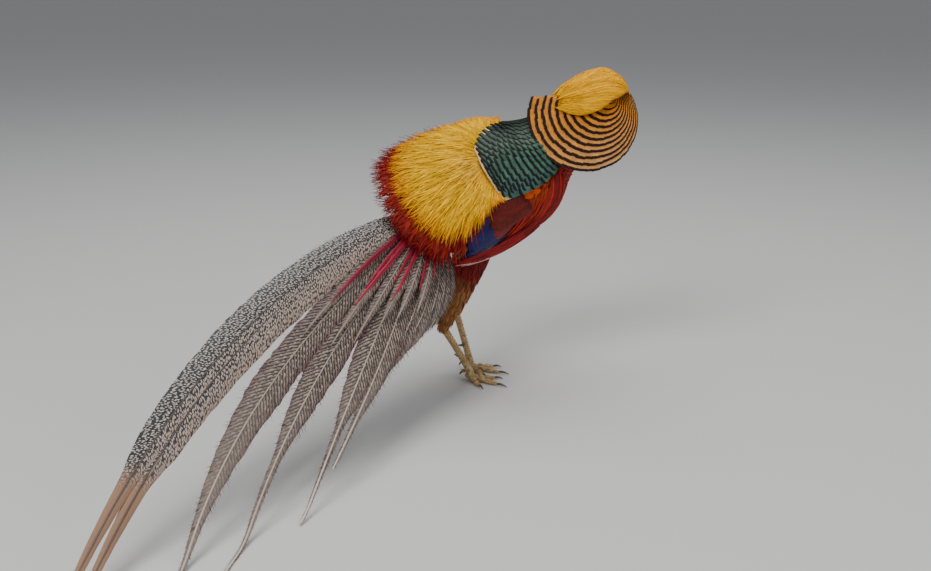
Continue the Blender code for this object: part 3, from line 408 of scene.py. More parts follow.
# the unwrap that skin and coat share: each form's band starts at left and low, and is so wide and high
bands = dict(body=(0.0, 1.0, 0.02, 0.58), head=(0.0, 0.45, 0.64, 0.30), right=(0.50, 0.22, 0.64, 0.30),
             left=(0.75, 0.22, 0.64, 0.30))


def onBand(form, share, angle):
    left, width, low, high = bands[form]
    return np.stack((left + (np.ravel(angle) % 360) / 360 * width, low + high * np.clip(np.ravel(share), 0, 1)), -1)


def headPatch(forward, angle):
    start, end = (headShape["rings"][k][0] for k in (0, -1))
    return onBand("head", (forward - start) / (end - start), angle)


def readAll(items, key, kind=np.int32, width=1):
    values = np.empty(len(items) * width, kind)
    items.foreach_get(key, values)
    return values


def spotsOf(mesh):
    return readAll(mesh.vertices, "co", float, 3).reshape(-1, 3)


def moveSpots(mesh, spots):
    mesh.vertices.foreach_set("co", spots.ravel())
    mesh.update()


def placeHome(piece):
    # bird places to frame places, kept in the mesh so that the object stays at the origin
    moveSpots(piece.data, spotsOf(piece.data).astype(np.float32) + home.astype(np.float32))


def finishPiece(piece, finishes, replaced=()):
    for finish in finishes:
        piece.data.materials.append(finish)
    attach(piece, "root")
    if replaced:
        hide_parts(*replaced)
    print(piece.name, "triangles", sum(len(f.vertices) - 2 for f in piece.data.polygons))


def coatPiece(name, groups, finish, replaced=()):
    starts = np.cumsum([0] + [len(g["points"]) for g in groups])
    joined = {key: np.concatenate([g[key] for g in groups]) for key in groups[0] if key != "corners"}
    corners = np.concatenate([g["corners"] + start for g, start in zip(groups, starts)])
    mesh = bpy.data.meshes.new(name)
    mesh.vertices.add(len(joined["points"]))
    mesh.vertices.foreach_set("co", joined["points"].astype(np.float32).ravel())
    mesh.loops.add(corners.size)
    mesh.loops.foreach_set("vertex_index", corners.astype(np.int32).ravel())
    mesh.polygons.add(len(corners))
    mesh.polygons.foreach_set("loop_start", np.arange(0, corners.size, 3, dtype=np.int32))
    mesh.update(calc_edges=True)
    for uvName, key in (("vane", "vane"), ("size", "size"), ("OFBake", "bake")):
        layer = mesh.uv_layers.new(name=uvName)
        layer.uv.foreach_set("vector", joined[key][corners.ravel()].astype(np.float32).ravel())
    tint = np.concatenate((joined["tint"], np.ones((len(joined["tint"]), 1))), 1)
    rims = joined["rim"][readAll(mesh.edges, "vertices", width=2).reshape(-1, 2)]
    for key, kind, owner, field, values in (
            ("tint", "FLOAT_COLOR", "POINT", "color", tint.astype(np.float32).ravel()),
            ("tone", "FLOAT", "POINT", "value", joined["tone"].astype(np.float32)),
            ("sharp_edge", "BOOLEAN", "EDGE", "value", (rims[:, 0] == rims[:, 1]) & (rims[:, 0] > 0))):
        mesh.attributes.new(key, kind, owner).data.foreach_set(field, values)
    mesh.polygons.foreach_set("use_smooth", np.ones(len(corners), bool))
    mesh.validate()
    piece = bpy.data.objects.new(name, mesh)
    bpy.context.scene.collection.objects.link(piece)
    placeHome(piece)
    finishPiece(piece, [finish], replaced)


def shareEvenly(name, groups, pieces, finish, replaced=()):
    # one kind of feather in a few pieces, so that each stays under the triangle limit
    for k in range(pieces):
        coatPiece(f"{name}{k + 1}", groups[k::pieces], finish, replaced if k == 0 else ())


# Node helpers for the finishes

def put(tree, kind, settings, feeds):
    made = tree.nodes.new(kind)
    for key, value in settings.items():
        setattr(made, key, value)
    for key, feed in feeds.items():
        if isinstance(feed, bpy.types.NodeSocket):
            tree.links.new(feed, made.inputs[key])
        else:
            made.inputs[key].default_value = feed
    return made


def maths(tree, operation, first, second=0.0):
    return put(tree, "ShaderNodeMath", {"operation": operation}, {0: first, 1: second}).outputs[0]


def times(tree, first, second):
    return maths(tree, "MULTIPLY", first, second)


def stirred(tree, value, noise, reach):
    # a value moved up and down by a noise
    return maths(tree, "ADD", value, times(tree, maths(tree, "SUBTRACT", noise, 0.5), reach))


def vector(tree, *parts):
    return put(tree, "ShaderNodeCombineXYZ", {}, dict(enumerate(parts))).outputs[0]


def noiseAt(tree, place, scale, detail, output=0):
    return put(tree, "ShaderNodeTexNoise", {}, {"Vector": place, "Scale": scale, "Detail": detail}).outputs[output]


def objectPlace(tree):
    return put(tree, "ShaderNodeTexCoord", {}, {}).outputs["Object"]


def attribute(tree, name, output):
    return put(tree, "ShaderNodeAttribute", {"attribute_name": name}, {}).outputs[output]


def splitUv(tree, name):
    place = put(tree, "ShaderNodeUVMap", {"uv_map": name}, {}).outputs[0]
    return put(tree, "ShaderNodeSeparateXYZ", {}, {0: place}).outputs[:2]


def easeBetween(tree, value, low, high, start=0.0, end=1.0):
    return put(tree, "ShaderNodeMapRange", {"interpolation_type": "SMOOTHSTEP"},
               {0: value, 1: low, 2: high, 3: start, 4: end}).outputs[0]


def blendColours(tree, factor, first, second, kind="MIX"):
    feeds = {0: factor}
    for key, colour in ((6, first), (7, second)):
        feeds[key] = (*colour, 1.0) if isinstance(colour, tuple) else colour
    return put(tree, "ShaderNodeMix", {"data_type": "RGBA", "blend_type": kind}, feeds).outputs[2]


def lit(tree, colour, light):
    return blendColours(tree, 1.0, colour, vector(tree, light, light, light), "MULTIPLY")


def newFinish(name, roughness, **sockets):
    finish = bpy.data.materials.new(name)
    finish.use_nodes = True
    tree = finish.node_tree
    shader = tree.nodes["Principled BSDF"]
    shader.inputs["Roughness"].default_value = roughness
    for socket, value in sockets.items():
        shader.inputs[socket.replace("_", " ")].default_value = value
    return finish, tree, shader


def closeFinish(tree, shader, colour, height, strength, depth=0.0004):
    # the last of a finish: its colour, and a bump from the pattern that the colour follows
    tree.links.new(colour, shader.inputs["Base Color"])
    bump = put(tree, "ShaderNodeBump", {}, {"Strength": strength, "Distance": depth, "Height": height})
    tree.links.new(bump.outputs[0], shader.inputs["Normal"])


def featherParts(tree):
    across, along = splitUv(tree, "vane")
    off = maths(tree, "ABSOLUTE", maths(tree, "SUBTRACT", across, 0.5))
    return across, along, off, attribute(tree, "tint", "Color"), attribute(tree, "tone", "Fac")


def barbs(tree, along, off, tone, many, slant):
    # fine streaks that leave the shaft at a slant, as the barbs do
    slanted = times(tree, maths(tree, "SUBTRACT", along, times(tree, off, slant)), many)
    return noiseAt(tree, vector(tree, times(tree, off, 3.0), slanted, times(tree, tone, 50.0)), 1.0, 2.0)


def featherFinish(name, roughness=0.55, many=26.0, slant=0.5, streak=0.35, shade=0.25, bar=None, edge=None,
                  shaft=None, tipOnly=0.0, Specular_IOR_Level=0.18, **sockets):
    # bar: where a dark tip bar starts, how soft, its colour; edge: from, to, colour; shaft: half width, colour
    finish, tree, shader = newFinish(name, roughness, Specular_IOR_Level=Specular_IOR_Level, **sockets)
    _, along, off, colour, tone = featherParts(tree)
    fine = barbs(tree, along, off, tone, many, slant)
    light = times(tree, easeBetween(tree, fine, 0.3, 0.7, 1 - streak, 1 + streak),
                  easeBetween(tree, tone, 0.0, 1.0, 1 - shade, 1 + shade))
    if bar:
        start, soft, dark = bar
        mask = easeBetween(tree, stirred(tree, along, fine, soft), start - soft, start + soft)
        colour = blendColours(tree, mask, colour, dark)
    if edge:
        start, end, dark = edge
        sideways = times(tree, off, 2.0)
        rim = maths(tree, "MAXIMUM", sideways, along)
        if tipOnly:
            rim = maths(tree, "ADD", along, times(tree, maths(tree, "POWER", sideways, 3.0), tipOnly))
        colour = blendColours(tree, easeBetween(tree, stirred(tree, rim, fine, 0.06), start, end), colour, dark)
    if shaft:
        width, pale = shaft
        colour = blendColours(tree, easeBetween(tree, off, 0.3 * width, width, 1.0, 0.0), colour, pale)
    closeFinish(tree, shader, lit(tree, colour, light), fine, 0.35)
    return finish


roundTip = ((0.0, 0.40), (0.30, 0.85), (0.62, 1.0), (0.86, 0.82), (1.0, 0.34))
lockTip = ((0.0, 0.70), (0.30, 1.0), (0.66, 0.72), (1.0, 0.10))
squareTip = ((0.0, 0.35), (0.45, 0.80), (0.80, 1.0), (0.97, 1.0), (1.0, 0.90))


# Where feathers root: rows back along the body, each row set half a step from the last

def scatterOnBody(shares, angles, rowGap, sideGap, loose=0.35):
    length = bodyShape["length"]
    rows = max(2, int(abs(shares[1] - shares[0]) * length / rowGap))
    spots = []
    for row, share in enumerate(np.linspace(*shares, rows)):
        value = smoothRow(bodyShape["stations"], np.array([share]))[0]
        girth = math.pi * (value[3] + (value[4] + value[5]) / 2)
        count = max(3, int(girth * abs(angles[1] - angles[0]) / 360 / sideGap))
        for k in range(count):
            place = share + dice.uniform(-loose, loose) * rowGap / length
            step = (k + 0.5 + 0.5 * (row % 2) + dice.uniform(-loose, loose)) / count
            spots.append((place, mix(*angles, step)))
    return np.array(spots)


def coatOnBody(spots, length, half, profile, look, fan=0.0, lift=0.0):
    share, angle = spots.T
    root, normal = onBody(share, angle, lift)
    along = turned(wayBack(share, angle), normal, np.broadcast_to(fan, len(spots)))
    return growVanes(root, along, normal, length, half, profile, dict(look, patch=onBand("body", share, angle)))


# Skin: body, head, thighs and tail root as one closed surface under the coat

legShape = dict(
    hock=dict(right=(-0.0440, -0.0300, 0.0710), left=(-0.0305, 0.0200, 0.0790)),
    ankle=dict(right=(-0.0123, -0.0166, 0.0110), left=(-0.0122, 0.0191, 0.0110)),
    knee=dict(right=(0.0000, -0.0330, 0.1850), left=(0.0080, 0.0330, 0.1900)),
    thigh=((-0.1, 0.017), (0.15, 0.0185), (0.40, 0.0152), (0.65, 0.0108), (0.85, 0.0077), (1.02, 0.0052)),
    fuller=dict(right=0.0, left=0.0022), toeTurn=dict(right=-32, left=-22),
    toes=((0, 0.040), (34, 0.031), (-34, 0.029)))
skinShape = dict(voxel=0.0022, coatDepth=0.0012, smooth=6, tailRoot=(
    (-0.012, 0.000, 0.018, 0.014), (0.012, 0.000, 0.020, 0.0125), (0.030, -0.0020, 0.019, 0.0095),
    (0.056, -0.0040, 0.012, 0.0045)))


def movedSphere(segments, rings, place):
    # a sphere whose points go where a function says, from their places and their angles from its pole and round it
    bpy.ops.mesh.primitive_uv_sphere_add(segments=segments, ring_count=rings, radius=1.0)
    piece = bpy.context.object
    spots = spotsOf(piece.data)
    lean = np.arccos(np.clip(spots[:, 2], -1, 1))
    moveSpots(piece.data, place(spots, lean, np.arctan2(spots[:, 1], spots[:, 0])))
    return piece


def roundedEnd(share, reach):
    return np.sqrt(np.clip(1 - np.clip(1 - share / reach, 0, 1) ** 2, 0, 1))


def sphereOnPath(name, rows, segments, rings, guide=(0.0, 0.0, 1.0), ends=(0.25, 0.25)):
    # a sphere whose rings are drawn out along rows of (x, y, z, half width, half height)
    def place(spots, lean, turn):
        share = lean / math.pi
        value = smoothRow(rows, share)
        ahead = smoothRow(rows, np.minimum(share + 0.01, 1.0)) - smoothRow(rows, np.maximum(share - 0.01, 0.0))
        tangent = unit(ahead[:, :3])
        side = unit(np.cross(tangent, np.array(guide)))
        face = np.cross(side, tangent)
        closing = (roundedEnd(share, ends[0]) * roundedEnd(1 - share, ends[1]))[:, None]
        return (value[:, :3] + side * (np.cos(turn) * value[:, 3])[:, None] * closing
                + face * (np.sin(turn) * value[:, 4])[:, None] * closing)

    piece = movedSphere(segments, rings, place)
    piece.name = name
    return piece


def outwards(piece):
    bpy.ops.object.select_all(action="DESELECT")
    piece.select_set(True)
    bpy.context.view_layer.objects.active = piece
    bpy.ops.object.mode_set(mode="EDIT")
    bpy.ops.mesh.select_all(action="SELECT")
    bpy.ops.mesh.remove_doubles(threshold=0.00001)
    bpy.ops.mesh.normals_make_consistent(inside=False)
    bpy.ops.object.mode_set(mode="OBJECT")
    bpy.ops.object.shade_smooth()


def joinAll(pieces):
    bpy.ops.object.select_all(action="DESELECT")
    for piece in pieces:
        piece.select_set(True)
    bpy.context.view_layer.objects.active = pieces[0]
    bpy.ops.object.join()
    return pieces[0]


def thighRows(side):
    fuller = legShape["fuller"][side]
    knee, hock = (np.array(legShape[key][side]) for key in ("knee", "hock"))
    return [(*mix(knee, hock, t), r + fuller * t, r + fuller * t) for t, r in legShape["thigh"]]


def onThigh(side, down, turn):
    # places, half widths and the way out, down the thigh and round it, and the way down
    rows = thighRows(side)
    value = smoothRow(rows, down)
    tangent = unit(np.array(rows[-1][:3]) - np.array(rows[0][:3]))
    sideways = unit(np.cross(tangent, np.array((1.0, 0.0, 0.0))))
    cos, sin = circle(turn)
    return value[:, :3], value[:, 3:4], sideways * cos + np.cross(sideways, tangent) * sin, tangent


def drawnBody():
    def place(spots, lean, turn):
        share = lean / math.pi
        surface = onBody(share, np.degrees(turn), -skinShape["coatDepth"])[0]
        middle = bodyFrame(share)[0]
        return middle + (surface - middle) * roundedEnd(share, 0.04)[:, None]

    return movedSphere(44, 64, place)


def shieldCore():
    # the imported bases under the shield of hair-like feathers
    def place(spots, lean, turn):
        turn = np.degrees(turn)
        rise = spots[:, 2]
        reach = np.hypot(spots[:, 0], spots[:, 1]) * 0.58 * shieldReach(np.clip(turn, -125, 62), 1)
        depth = np.where(rise > 0, -0.0025 - 0.004 * (1 - rise), -0.030 * -rise - 0.0065)
        return onShield(turn, reach, depth)[0]

    return movedSphere(40, 16, place)


def crestCore():
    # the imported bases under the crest, drawn in where the face and the cape are
    def place(spots, lean, turn):
        theta, turn = np.degrees(lean), np.degrees(turn)
        inside = np.minimum(readTable(crestShape["near"], theta) - turn, turn + readTable(crestShape["far"], theta))
        scale = np.interp(inside, (-6, 24), (0.22, 0.80)) * np.interp(theta, (0, 26, 160, 180), (0.4, 1.0, 1.0, 0.7))
        return onCrest(theta, turn, scale)[0]

    return movedSphere(40, 24, place)


def headBody():
    aim, _, top = headAxes()
    rows = [(*(headShape["at"] + aim * forward + top * (high - low) / 2), half, (high + low) / 2)
            for forward, half, high, low in headShape["rings"]]
    return sphereOnPath("headBody", rows, 32, 32, guide=tuple(top), ends=(0.12, 0.16))


bodyTints = dict(
    red=((0.20, 0.005, 0.004), (0.42, 0.012, 0.004)), flame=(0.78, 0.13, 0.003), rear=paint(150, 60, 26),
    throat=paint(168, 96, 46), green=(paint(30, 52, 42), paint(26, 52, 48)), gold=(0.66, 0.28, 0.003),
    nape=(0.55, 0.20, 0.02), maroon=(0.13, 0.010, 0.006), blue=(0.012, 0.014, 0.095),
    cheek=paint(206, 140, 40), chin=paint(158, 88, 46), thigh=(paint(128, 30, 18), paint(150, 98, 54)))


def bodyTint(share, angle):
    # the colour of the coat at a place on the body, for the skin under it and for the small feathers
    angle = halfTurn(angle)
    side = np.abs(angle)
    colour = mixRows(*bodyTints["red"], ramp(share, 0.10, 0.55))
    for part, strength in (("flame", hump(share, 0.49, 0.06) * hump(angle, 53, 9) * 0.7),
                           ("rear", ramp(share, 0.16, 0.04) * 0.6), ("throat", ramp(share, 0.80, 0.92))):
        colour = mixRows(colour, bodyTints[part], strength)
    above = (angle > -84) & (angle < np.where(share < 0.34, 62, 44))
    for inside, tint in (
            (above & (share < 0.34), bodyTints["gold"]),
            (above & (share >= 0.34) & (share < 0.66), mixRows(*bodyTints["green"], ramp(angle, -20, 50))),
            (within(share, 0.34, 0.42) & within(side, 46, 72), bodyTints["maroon"]),
            (within(share, 0.15, 0.34) & within(side, 62, 104), bodyTints["blue"]),
            ((share >= 0.66) & within(angle, -160, 62), bodyTints["nape"])):
        colour = np.where(inside[..., None], tint, colour)
    return colour


def headTint(angle):
    return mixRows(bodyTints["cheek"], bodyTints["chin"], ramp(np.abs(halfTurn(angle)), 70, 120))


def makeSkin():
    thighs = [sphereOnPath("thighBody", thighRows(side), 24, 28, guide=(1.0, 0.0, 0.0), ends=(0.2, 0.1))
              for side in sides]
    tailRows = [(*onFan(d, 8, lift)[0], half, high) for d, lift, half, high in skinShape["tailRoot"]]
    tailRoot = sphereOnPath("tailBody", tailRows, 24, 20, guide=tuple(tailShape["face"]), ends=(0.3, 0.3))
    skin = joinAll([drawnBody(), headBody(), shieldCore(), crestCore(), *thighs, tailRoot])
    skin.name = "skin"
    outwards(skin)
    for name, kind, settings in (
            ("oneSurface", "REMESH", dict(mode="VOXEL", voxel_size=skinShape["voxel"])),
            ("soften", "SMOOTH", dict(factor=0.5, iterations=skinShape["smooth"]))):
        step = skin.modifiers.new(name, kind)
        for key, value in settings.items():
            setattr(step, key, value)
        bpy.ops.object.modifier_apply(modifier=step.name)
    bpy.ops.object.shade_smooth()
    return skin


def nearestPlace(samples, spots):
    tree = kdtree.KDTree(len(samples))
    for k, spot in enumerate(samples):
        tree.insert(spot, k)
    tree.balance()
    found = [tree.find(spot) for spot in spots]
    return np.array([f[1] for f in found]), np.array([f[2] for f in found])


def unwrapSkin(skin):
    # every point of the skin takes its place on the unwrap and its tint from the form it lies on
    mesh = skin.data
    spots = spotsOf(mesh)
    share, angle = grid(np.linspace(0, 1, 90), np.arange(0, 360, 4.0))
    forward, turn = grid(np.linspace(-0.023, 0.0205, 24), np.arange(0, 360, 8.0))
    forms = [(onBody(share, angle)[0], onBand("body", share, angle), bodyTint(share, angle)),
             (onHead(forward, turn)[0], headPatch(forward, turn), headTint(turn))]
    for side in sides:
        down, turn = grid(np.linspace(0.3, 1, 30), np.arange(0, 360, 12.0))
        middle, half, out, _ = onThigh(side, down, turn)
        forms.append((middle + out * half, onBand(side, down, turn),
                      mixRows(*bodyTints["thigh"], np.clip((down - 0.3) * 3, 0, 1))))
    finds = [nearestPlace(samples, spots) for samples, _, _ in forms]
    best = np.argmin(np.stack([gap for _, gap in finds]), 0)
    corner = readAll(mesh.loops, "vertex_index")
    starts = readAll(mesh.polygons, "loop_start")
    totals = readAll(mesh.polygons, "loop_total")
    owner = np.repeat(best[corner[starts]], totals)
    face = np.repeat(np.arange(len(starts)), totals)
    places = np.zeros((len(corner), 2))
    tint = np.ones((len(spots), 4))
    for k, (_, patch, colours) in enumerate(forms):
        places[owner == k] = patch[finds[k][0][corner[owner == k]]]
        tint[best == k, :3] = colours[finds[k][0][best == k]]
    # a face that crosses the seam of its band stays whole
    widest = np.full(len(starts), -1.0)
    np.maximum.at(widest, face, places[:, 0])
    span = np.array([width for _, width, _, _ in bands.values()])
    jump = (widest[face] - places[:, 0]) > 0.5 * span[owner]
    places[jump, 0] = widest[face][jump]
    mesh.uv_layers.new(name="OFBake").uv.foreach_set("vector", places.astype(np.float32).ravel())
    layer = mesh.attributes.new("tint", "FLOAT_COLOR", "POINT")
    layer.data.foreach_set("color", tint.astype(np.float32).ravel())


def skinFinish():
    finish, tree, shader = newFinish("skinUnderDown", 0.75)
    noise = noiseAt(tree, objectPlace(tree), 420.0, 4.0)
    colour = lit(tree, attribute(tree, "tint", "Color"), easeBetween(tree, noise, 0.3, 0.7, 0.45, 0.95))
    closeFinish(tree, shader, colour, noise, 0.5, 0.0006)
    return finish


print("skin")
skin = makeSkin()
unwrapSkin(skin)
placeHome(skin)
finishPiece(skin, [skinFinish()], ("torso", "neck", "head", "rump", "thigh_right", "thigh_left"))


# Breast, belly and flanks

# clear: share from and to, and how far round from the back, where other feathers lie
breastCoat = dict(rowGap=0.0046, sideGap=0.0046, length=0.021, half=0.0040, share=(0.99, -0.03), angle=(44, 286),
                  clear=((0.15, 0.36, 108), (-1.0, 0.42, 70), (0.40, 2.0, 48)), nape=(0.66, 240),
                  sizes=((0.0, 1.5), (0.2, 1.25), (0.7, 0.95), (0.95, 0.45)))


def coverBreast():
    spots = scatterOnBody(breastCoat["share"], breastCoat["angle"], breastCoat["rowGap"], breastCoat["sideGap"])
    share, angle = spots.T
    side = np.minimum(angle, 360 - angle)
    keep = ~((share > breastCoat["nape"][0]) & (angle > breastCoat["nape"][1]))
    for low, high, limit in breastCoat["clear"]:
        keep &= ~(within(share, low, high) & (side < limit))
    spots = spots[keep]
    share, angle = spots.T
    count = len(spots)
    tint = bodyTint(share, angle)
    size = readTable(breastCoat["sizes"], share) * dice.uniform(0.85, 1.15, count)
    look = dict(rise=dice.uniform(7, 12, count), curl=0.10, camber=0.3, tilt=dice.uniform(-8, 8, count),
                sweep=dice.uniform(-0.08, 0.08, count), tint=tint * 0.75, tip=tint * 1.15)
    return coatOnBody(spots, breastCoat["length"] * size, breastCoat["half"] * np.sqrt(size), lockTip, look,
                      fan=dice.uniform(-7, 7, count))


# areas: share, angle and the gap between strands; root and tip: their gold and their red; the darker root gold is
# painted shade under the strands above
farCoat = dict(areas=(((0.28, -0.02), (304, 348), 0.0032), ((0.15, -0.02), (258, 304), 0.0034)), rowGap=0.0042,
               length=(0.030, 0.046), half=0.0011, root=((0.62, 0.27, 0.0), (0.36, 0.010, 0.002)),
               tip=((0.86, 0.46, 0.002), (0.20, 0.003, 0.002)))


def coverFarBack():
    # hair-like feathers on the far side of the lower back, from gold at the spine to red over the wing
    spots = np.concatenate([scatterOnBody(share, angle, farCoat["rowGap"], gap)
                            for share, angle, gap in farCoat["areas"]])
    count = len(spots)
    red = np.clip((322 - spots[:, 1]) / 24 + dice.uniform(-0.3, 0.3, count), 0, 1)
    look = dict(rise=dice.uniform(6, 18, count), curl=0.06, camber=0.3, tint=mixRows(*farCoat["root"], red),
                tip=mixRows(*farCoat["tip"], red), sweep=dice.uniform(-0.05, 0.12, count))
    return coatOnBody(spots, dice.uniform(*farCoat["length"], count), farCoat["half"], lockTip, look,
                      fan=dice.uniform(-18, 6, count))


redFinish = featherFinish("scarletFeather", roughness=0.5, many=16.0, slant=1.6, streak=0.45, shade=0.25)
print("breast")
coatPiece("breastCoat", [coverBreast()], redFinish)
coatPiece("farBack", [coverFarBack()], redFinish)


# Mantle: rows of broad scale feathers with black edges, and a cream rim on the last row

# lines: angle at the neck, then share and angle where the mantle ends, and the lift there and at the neck
mantleCoat = dict(
    rows=17, gap=0.0084, neck=0.74, span=0.23, half=0.0086, top=(0.046, 0.094, 0.054), near=(0.034, 0.100, 0.078),
    far=(0.012, 0.028, 0.017), cream=(0.62, 0.50, 0.27), creamFrom=0.24, tipLift=0.0010, rootSink=0.0016,
    lines=((-112, 0.600, -100, 0.0040, 0.004), (-88, 0.530, -74, 0.0080, 0.006), (-66, 0.470, -50, 0.0115, 0.007),
           (-50, 0.440, -36, 0.0135, 0.008), (-38, 0.390, -27, 0.0128, 0.008), (-24, 0.338, -14, 0.0131, 0.007),
           (-10, 0.318, -5, 0.0134, 0.006), (6, 0.300, 2, 0.0140, 0.005), (20, 0.292, 9, 0.0140, 0.004),
           (37, 0.310, 24, 0.0124, 0.003), (47, 0.333, 31, 0.0111, 0.002), (54, 0.355, 37, 0.0100, 0.0015)))


def onMantle(line, back, lift=0.0):
    # line runs 0 to 1 from the far side to the near side, back runs 0 at the cream rim to 1 at the neck
    rows = smoothRow(mantleCoat["lines"], line)
    share = mix(rows[:, 1], mantleCoat["neck"], back)
    angle = mix(rows[:, 2], rows[:, 0], back)
    return (*onBody(share, angle, mix(rows[:, 3], rows[:, 4], np.clip(back, 0, 1) ** 0.8) + lift), share, angle)


def mantleFeathers(line, back, longer, lift, tint, look):
    tip = onMantle(line, back - longer, lift + mantleCoat["tipLift"])[0]
    root, _, share, angle = onMantle(line, back + mantleCoat["span"], lift - mantleCoat["rootSink"])
    middle = onMantle(line, back + 0.4 * mantleCoat["span"])[1]
    along = unit(tip - root)
    size = np.interp(back, (0, 1), (1.0, 0.82))
    return growVanes(root, along, middle, np.linalg.norm(tip - root, axis=-1), mantleCoat["half"] * size, mantleTip,
                     dict(dict(rise=1.5, curl=0.02, camber=0.14, across=4, tilt=1.5), **look, tint=tint * 0.85,
                          tip=tint * 1.2, patch=onBand("body", np.clip(share, 0, 0.9), angle)))


def evenLines(back, gap, shift):
    # places along one row of the mantle, a gap apart on its surface
    line = np.linspace(0, 1, 120)
    spots = onMantle(line, np.full(120, back))[0]
    run = np.concatenate(([0.0], np.cumsum(np.linalg.norm(np.diff(spots, axis=0), axis=1))))
    count = max(8, int(run[-1] / gap))
    return np.interp((np.arange(count) + shift) / count * run[-1], run, line)


def coverMantle():
    rows, gap = mantleCoat["rows"], mantleCoat["gap"]
    main = []
    for row in range(rows):
        line = evenLines(row / rows, gap * mix(1.0, 0.85, row / rows), 0.25 + 0.5 * (row % 2))
        back = np.full(len(line), row / rows)
        tint = mixRows(mantleCoat["top"], mantleCoat["near"], ramp(line, 0.5, 0.9) * (1 - 0.3 * back))
        tint = mixRows(tint, mantleCoat["far"], ramp(line, 0.56, 0.32)) * dice.uniform(0.85, 1.15, (len(line), 1))
        main.append(mantleFeathers(line, back, 0.0, 0.0, tint, {}))
    line = evenLines(0.0, gap * 0.4, 0.5)
    line = line[line > mantleCoat["creamFrom"]]
    longer, lift = (np.interp(line, (0.35, 0.60), ends) for ends in ((0.034, 0.016), (-0.0006, -0.0017)))
    cream = np.broadcast_to(mantleCoat["cream"], (len(line), 3))
    return main, mantleFeathers(line, np.zeros(len(line)), longer, lift, cream, dict(camber=0.03))


mantleTip = ((0.0, 0.45), (0.35, 0.92), (0.70, 1.0), (0.88, 0.98), (0.96, 0.90), (1.0, 0.76))
mantleFinish = featherFinish("greenScaleFeather", roughness=0.42, many=40.0, slant=0.4, streak=0.30, shade=0.15,
                             edge=(0.885, 0.925, (0.002, 0.003, 0.003)), tipOnly=0.065, Specular_IOR_Level=0.22)
creamFinish = featherFinish("creamRimFeather", roughness=0.6, many=40.0, streak=0.2, shade=0.1)
print("mantle")
mantle, mantleRim = coverMantle()
coatPiece("mantle", mantle, mantleFinish)
coatPiece("mantleRim", [mantleRim], creamFinish)


# Lower back: a shield of hair-like gold, with a scarlet fringe under its edge

# column: of the edge table; reach: shares of the edge; run: how long; root, tip: their two tints each; the darker,
# deeper orange of the gold roots is painted shade under the strands that lie over them
shieldCoat = dict(
    turns=(-122, 60), widths=(0.7, 1.0, 1.0, 0.95, 0.80, 0.50, 0.08),
    gold=dict(count=1700, column=1, reach=(0.36, 1.03), run=(0.030, 0.062), half=0.00090, lift=(0.0015, 0.0075),
              wander=0.10, root=((0.58, 0.25, 0.0), (0.76, 0.38, 0.0)), tip=((0.82, 0.43, 0.0), (0.94, 0.58, 0.003)),
              buff=((0.60, 0.31, 0.05), (0.74, 0.40, 0.07)), edge=(0.80, 0.20, 0.004)),
    scarlet=dict(count=3000, column=2, reach=(0.86, 1.05), run=(0.030, 0.060), half=0.00080, lift=(-0.0025, 0.0015),
                 wander=0.16, root=((0.44, 0.035, 0.001), (0.28, 0.006, 0.002)),
                 tip=((0.11, 0.002, 0.003), (0.26, 0.005, 0.006))))


def sweepLines(stops, place):
    # where many strands run and how they face, asked for at one stop after another
    rows = [place(t) for t in stops]
    return (np.stack([row[k] for row in rows], 1) for k in (0, 1))


def hairWidths(count, half, widths, spread=(0.7, 1.4)):
    return half * dice.uniform(*spread, count)[:, None] * np.array(widths)


def shieldStrands(kind, tints):
    coat = shieldCoat[kind]
    count = coat["count"]
    turn = mix(*shieldCoat["turns"], dice.random(count))
    inner = readTable(shieldShape["start"], turn)
    full = shieldReach(turn, coat["column"])
    low, high = coat["reach"]
    tipShare = mix(np.maximum(low, (inner + 0.010) / full), high, dice.random(count) ** 0.75)
    reach = full * tipShare
    start = np.maximum(reach - mix(*coat["run"], dice.random(count)), inner + dice.uniform(-0.006, 0.001, count))
    drift = dice.normal(0, coat["wander"], count)
    height = mix(*coat["lift"], dice.random(count))
    stops = np.linspace(0, 1, len(shieldCoat["widths"]))

    def place(t):
        distance = mix(start, reach, t)
        lower = np.clip((distance - inner + 0.004) / 0.018, 0, 1)
        spot, normal = onShield(turn + drift * (t ** 2) * 30, distance,
                                height * lower * np.sin(min(t * 2.2, 1.57)) - 0.002 * (1 - t))
        return spot, turned(normal, unit(shieldShape["back"]), dice.uniform(-14, 14, count))

    lines, normals = sweepLines(stops, place)
    halves = hairWidths(count, coat["half"], shieldCoat["widths"], (0.7, 1.3))
    tint, tip = tints(coat, turn, reach, tipShare)
    first, last = shieldCoat["turns"]
    return vanesFromLines(lines, normals, halves, stops, dict(
        camber=0.3, tint=tint, tip=tip, fade=2.0,
        patch=onBand("body", 0.42 - start * 3, (turn - first) / (last - first) * 150 - 84)))


def goldTints(coat, turn, reach, tipShare):
    # paler and buff in the middle, orange at the very edge; the root tints are darker, as painted shade
    buff = hump(turn, 8, 24) * hump(reach, 0.052, 0.026) * 0.5
    tint, tip = (mixRows(mixRows(*coat[key], dice.random(len(turn))), pale, buff)
                 for key, pale in zip(("root", "tip"), coat["buff"]))
    return tint, mixRows(tip, coat["edge"], ramp(tipShare, 0.93, 1.0) * 0.6)


def scarletTints(coat, turn, reach, tipShare):
    return [mixRows(*coat[key], dice.random(len(turn))) for key in ("root", "tip")]


goldFinish = featherFinish("goldHair", roughness=0.5, many=5.0, slant=0.0, streak=0.24, shade=0.24,
                           Specular_IOR_Level=0.06)
print("lower back")
shareEvenly("goldShield", [shieldStrands("gold", goldTints) for _ in range(4)], 2, goldFinish)
coatPiece("scarletFringe", [shieldStrands("scarlet", scarletTints)], redFinish)


# Cape: tiers of square-tipped feathers fanned round the eye, each with a dark bar at its tip

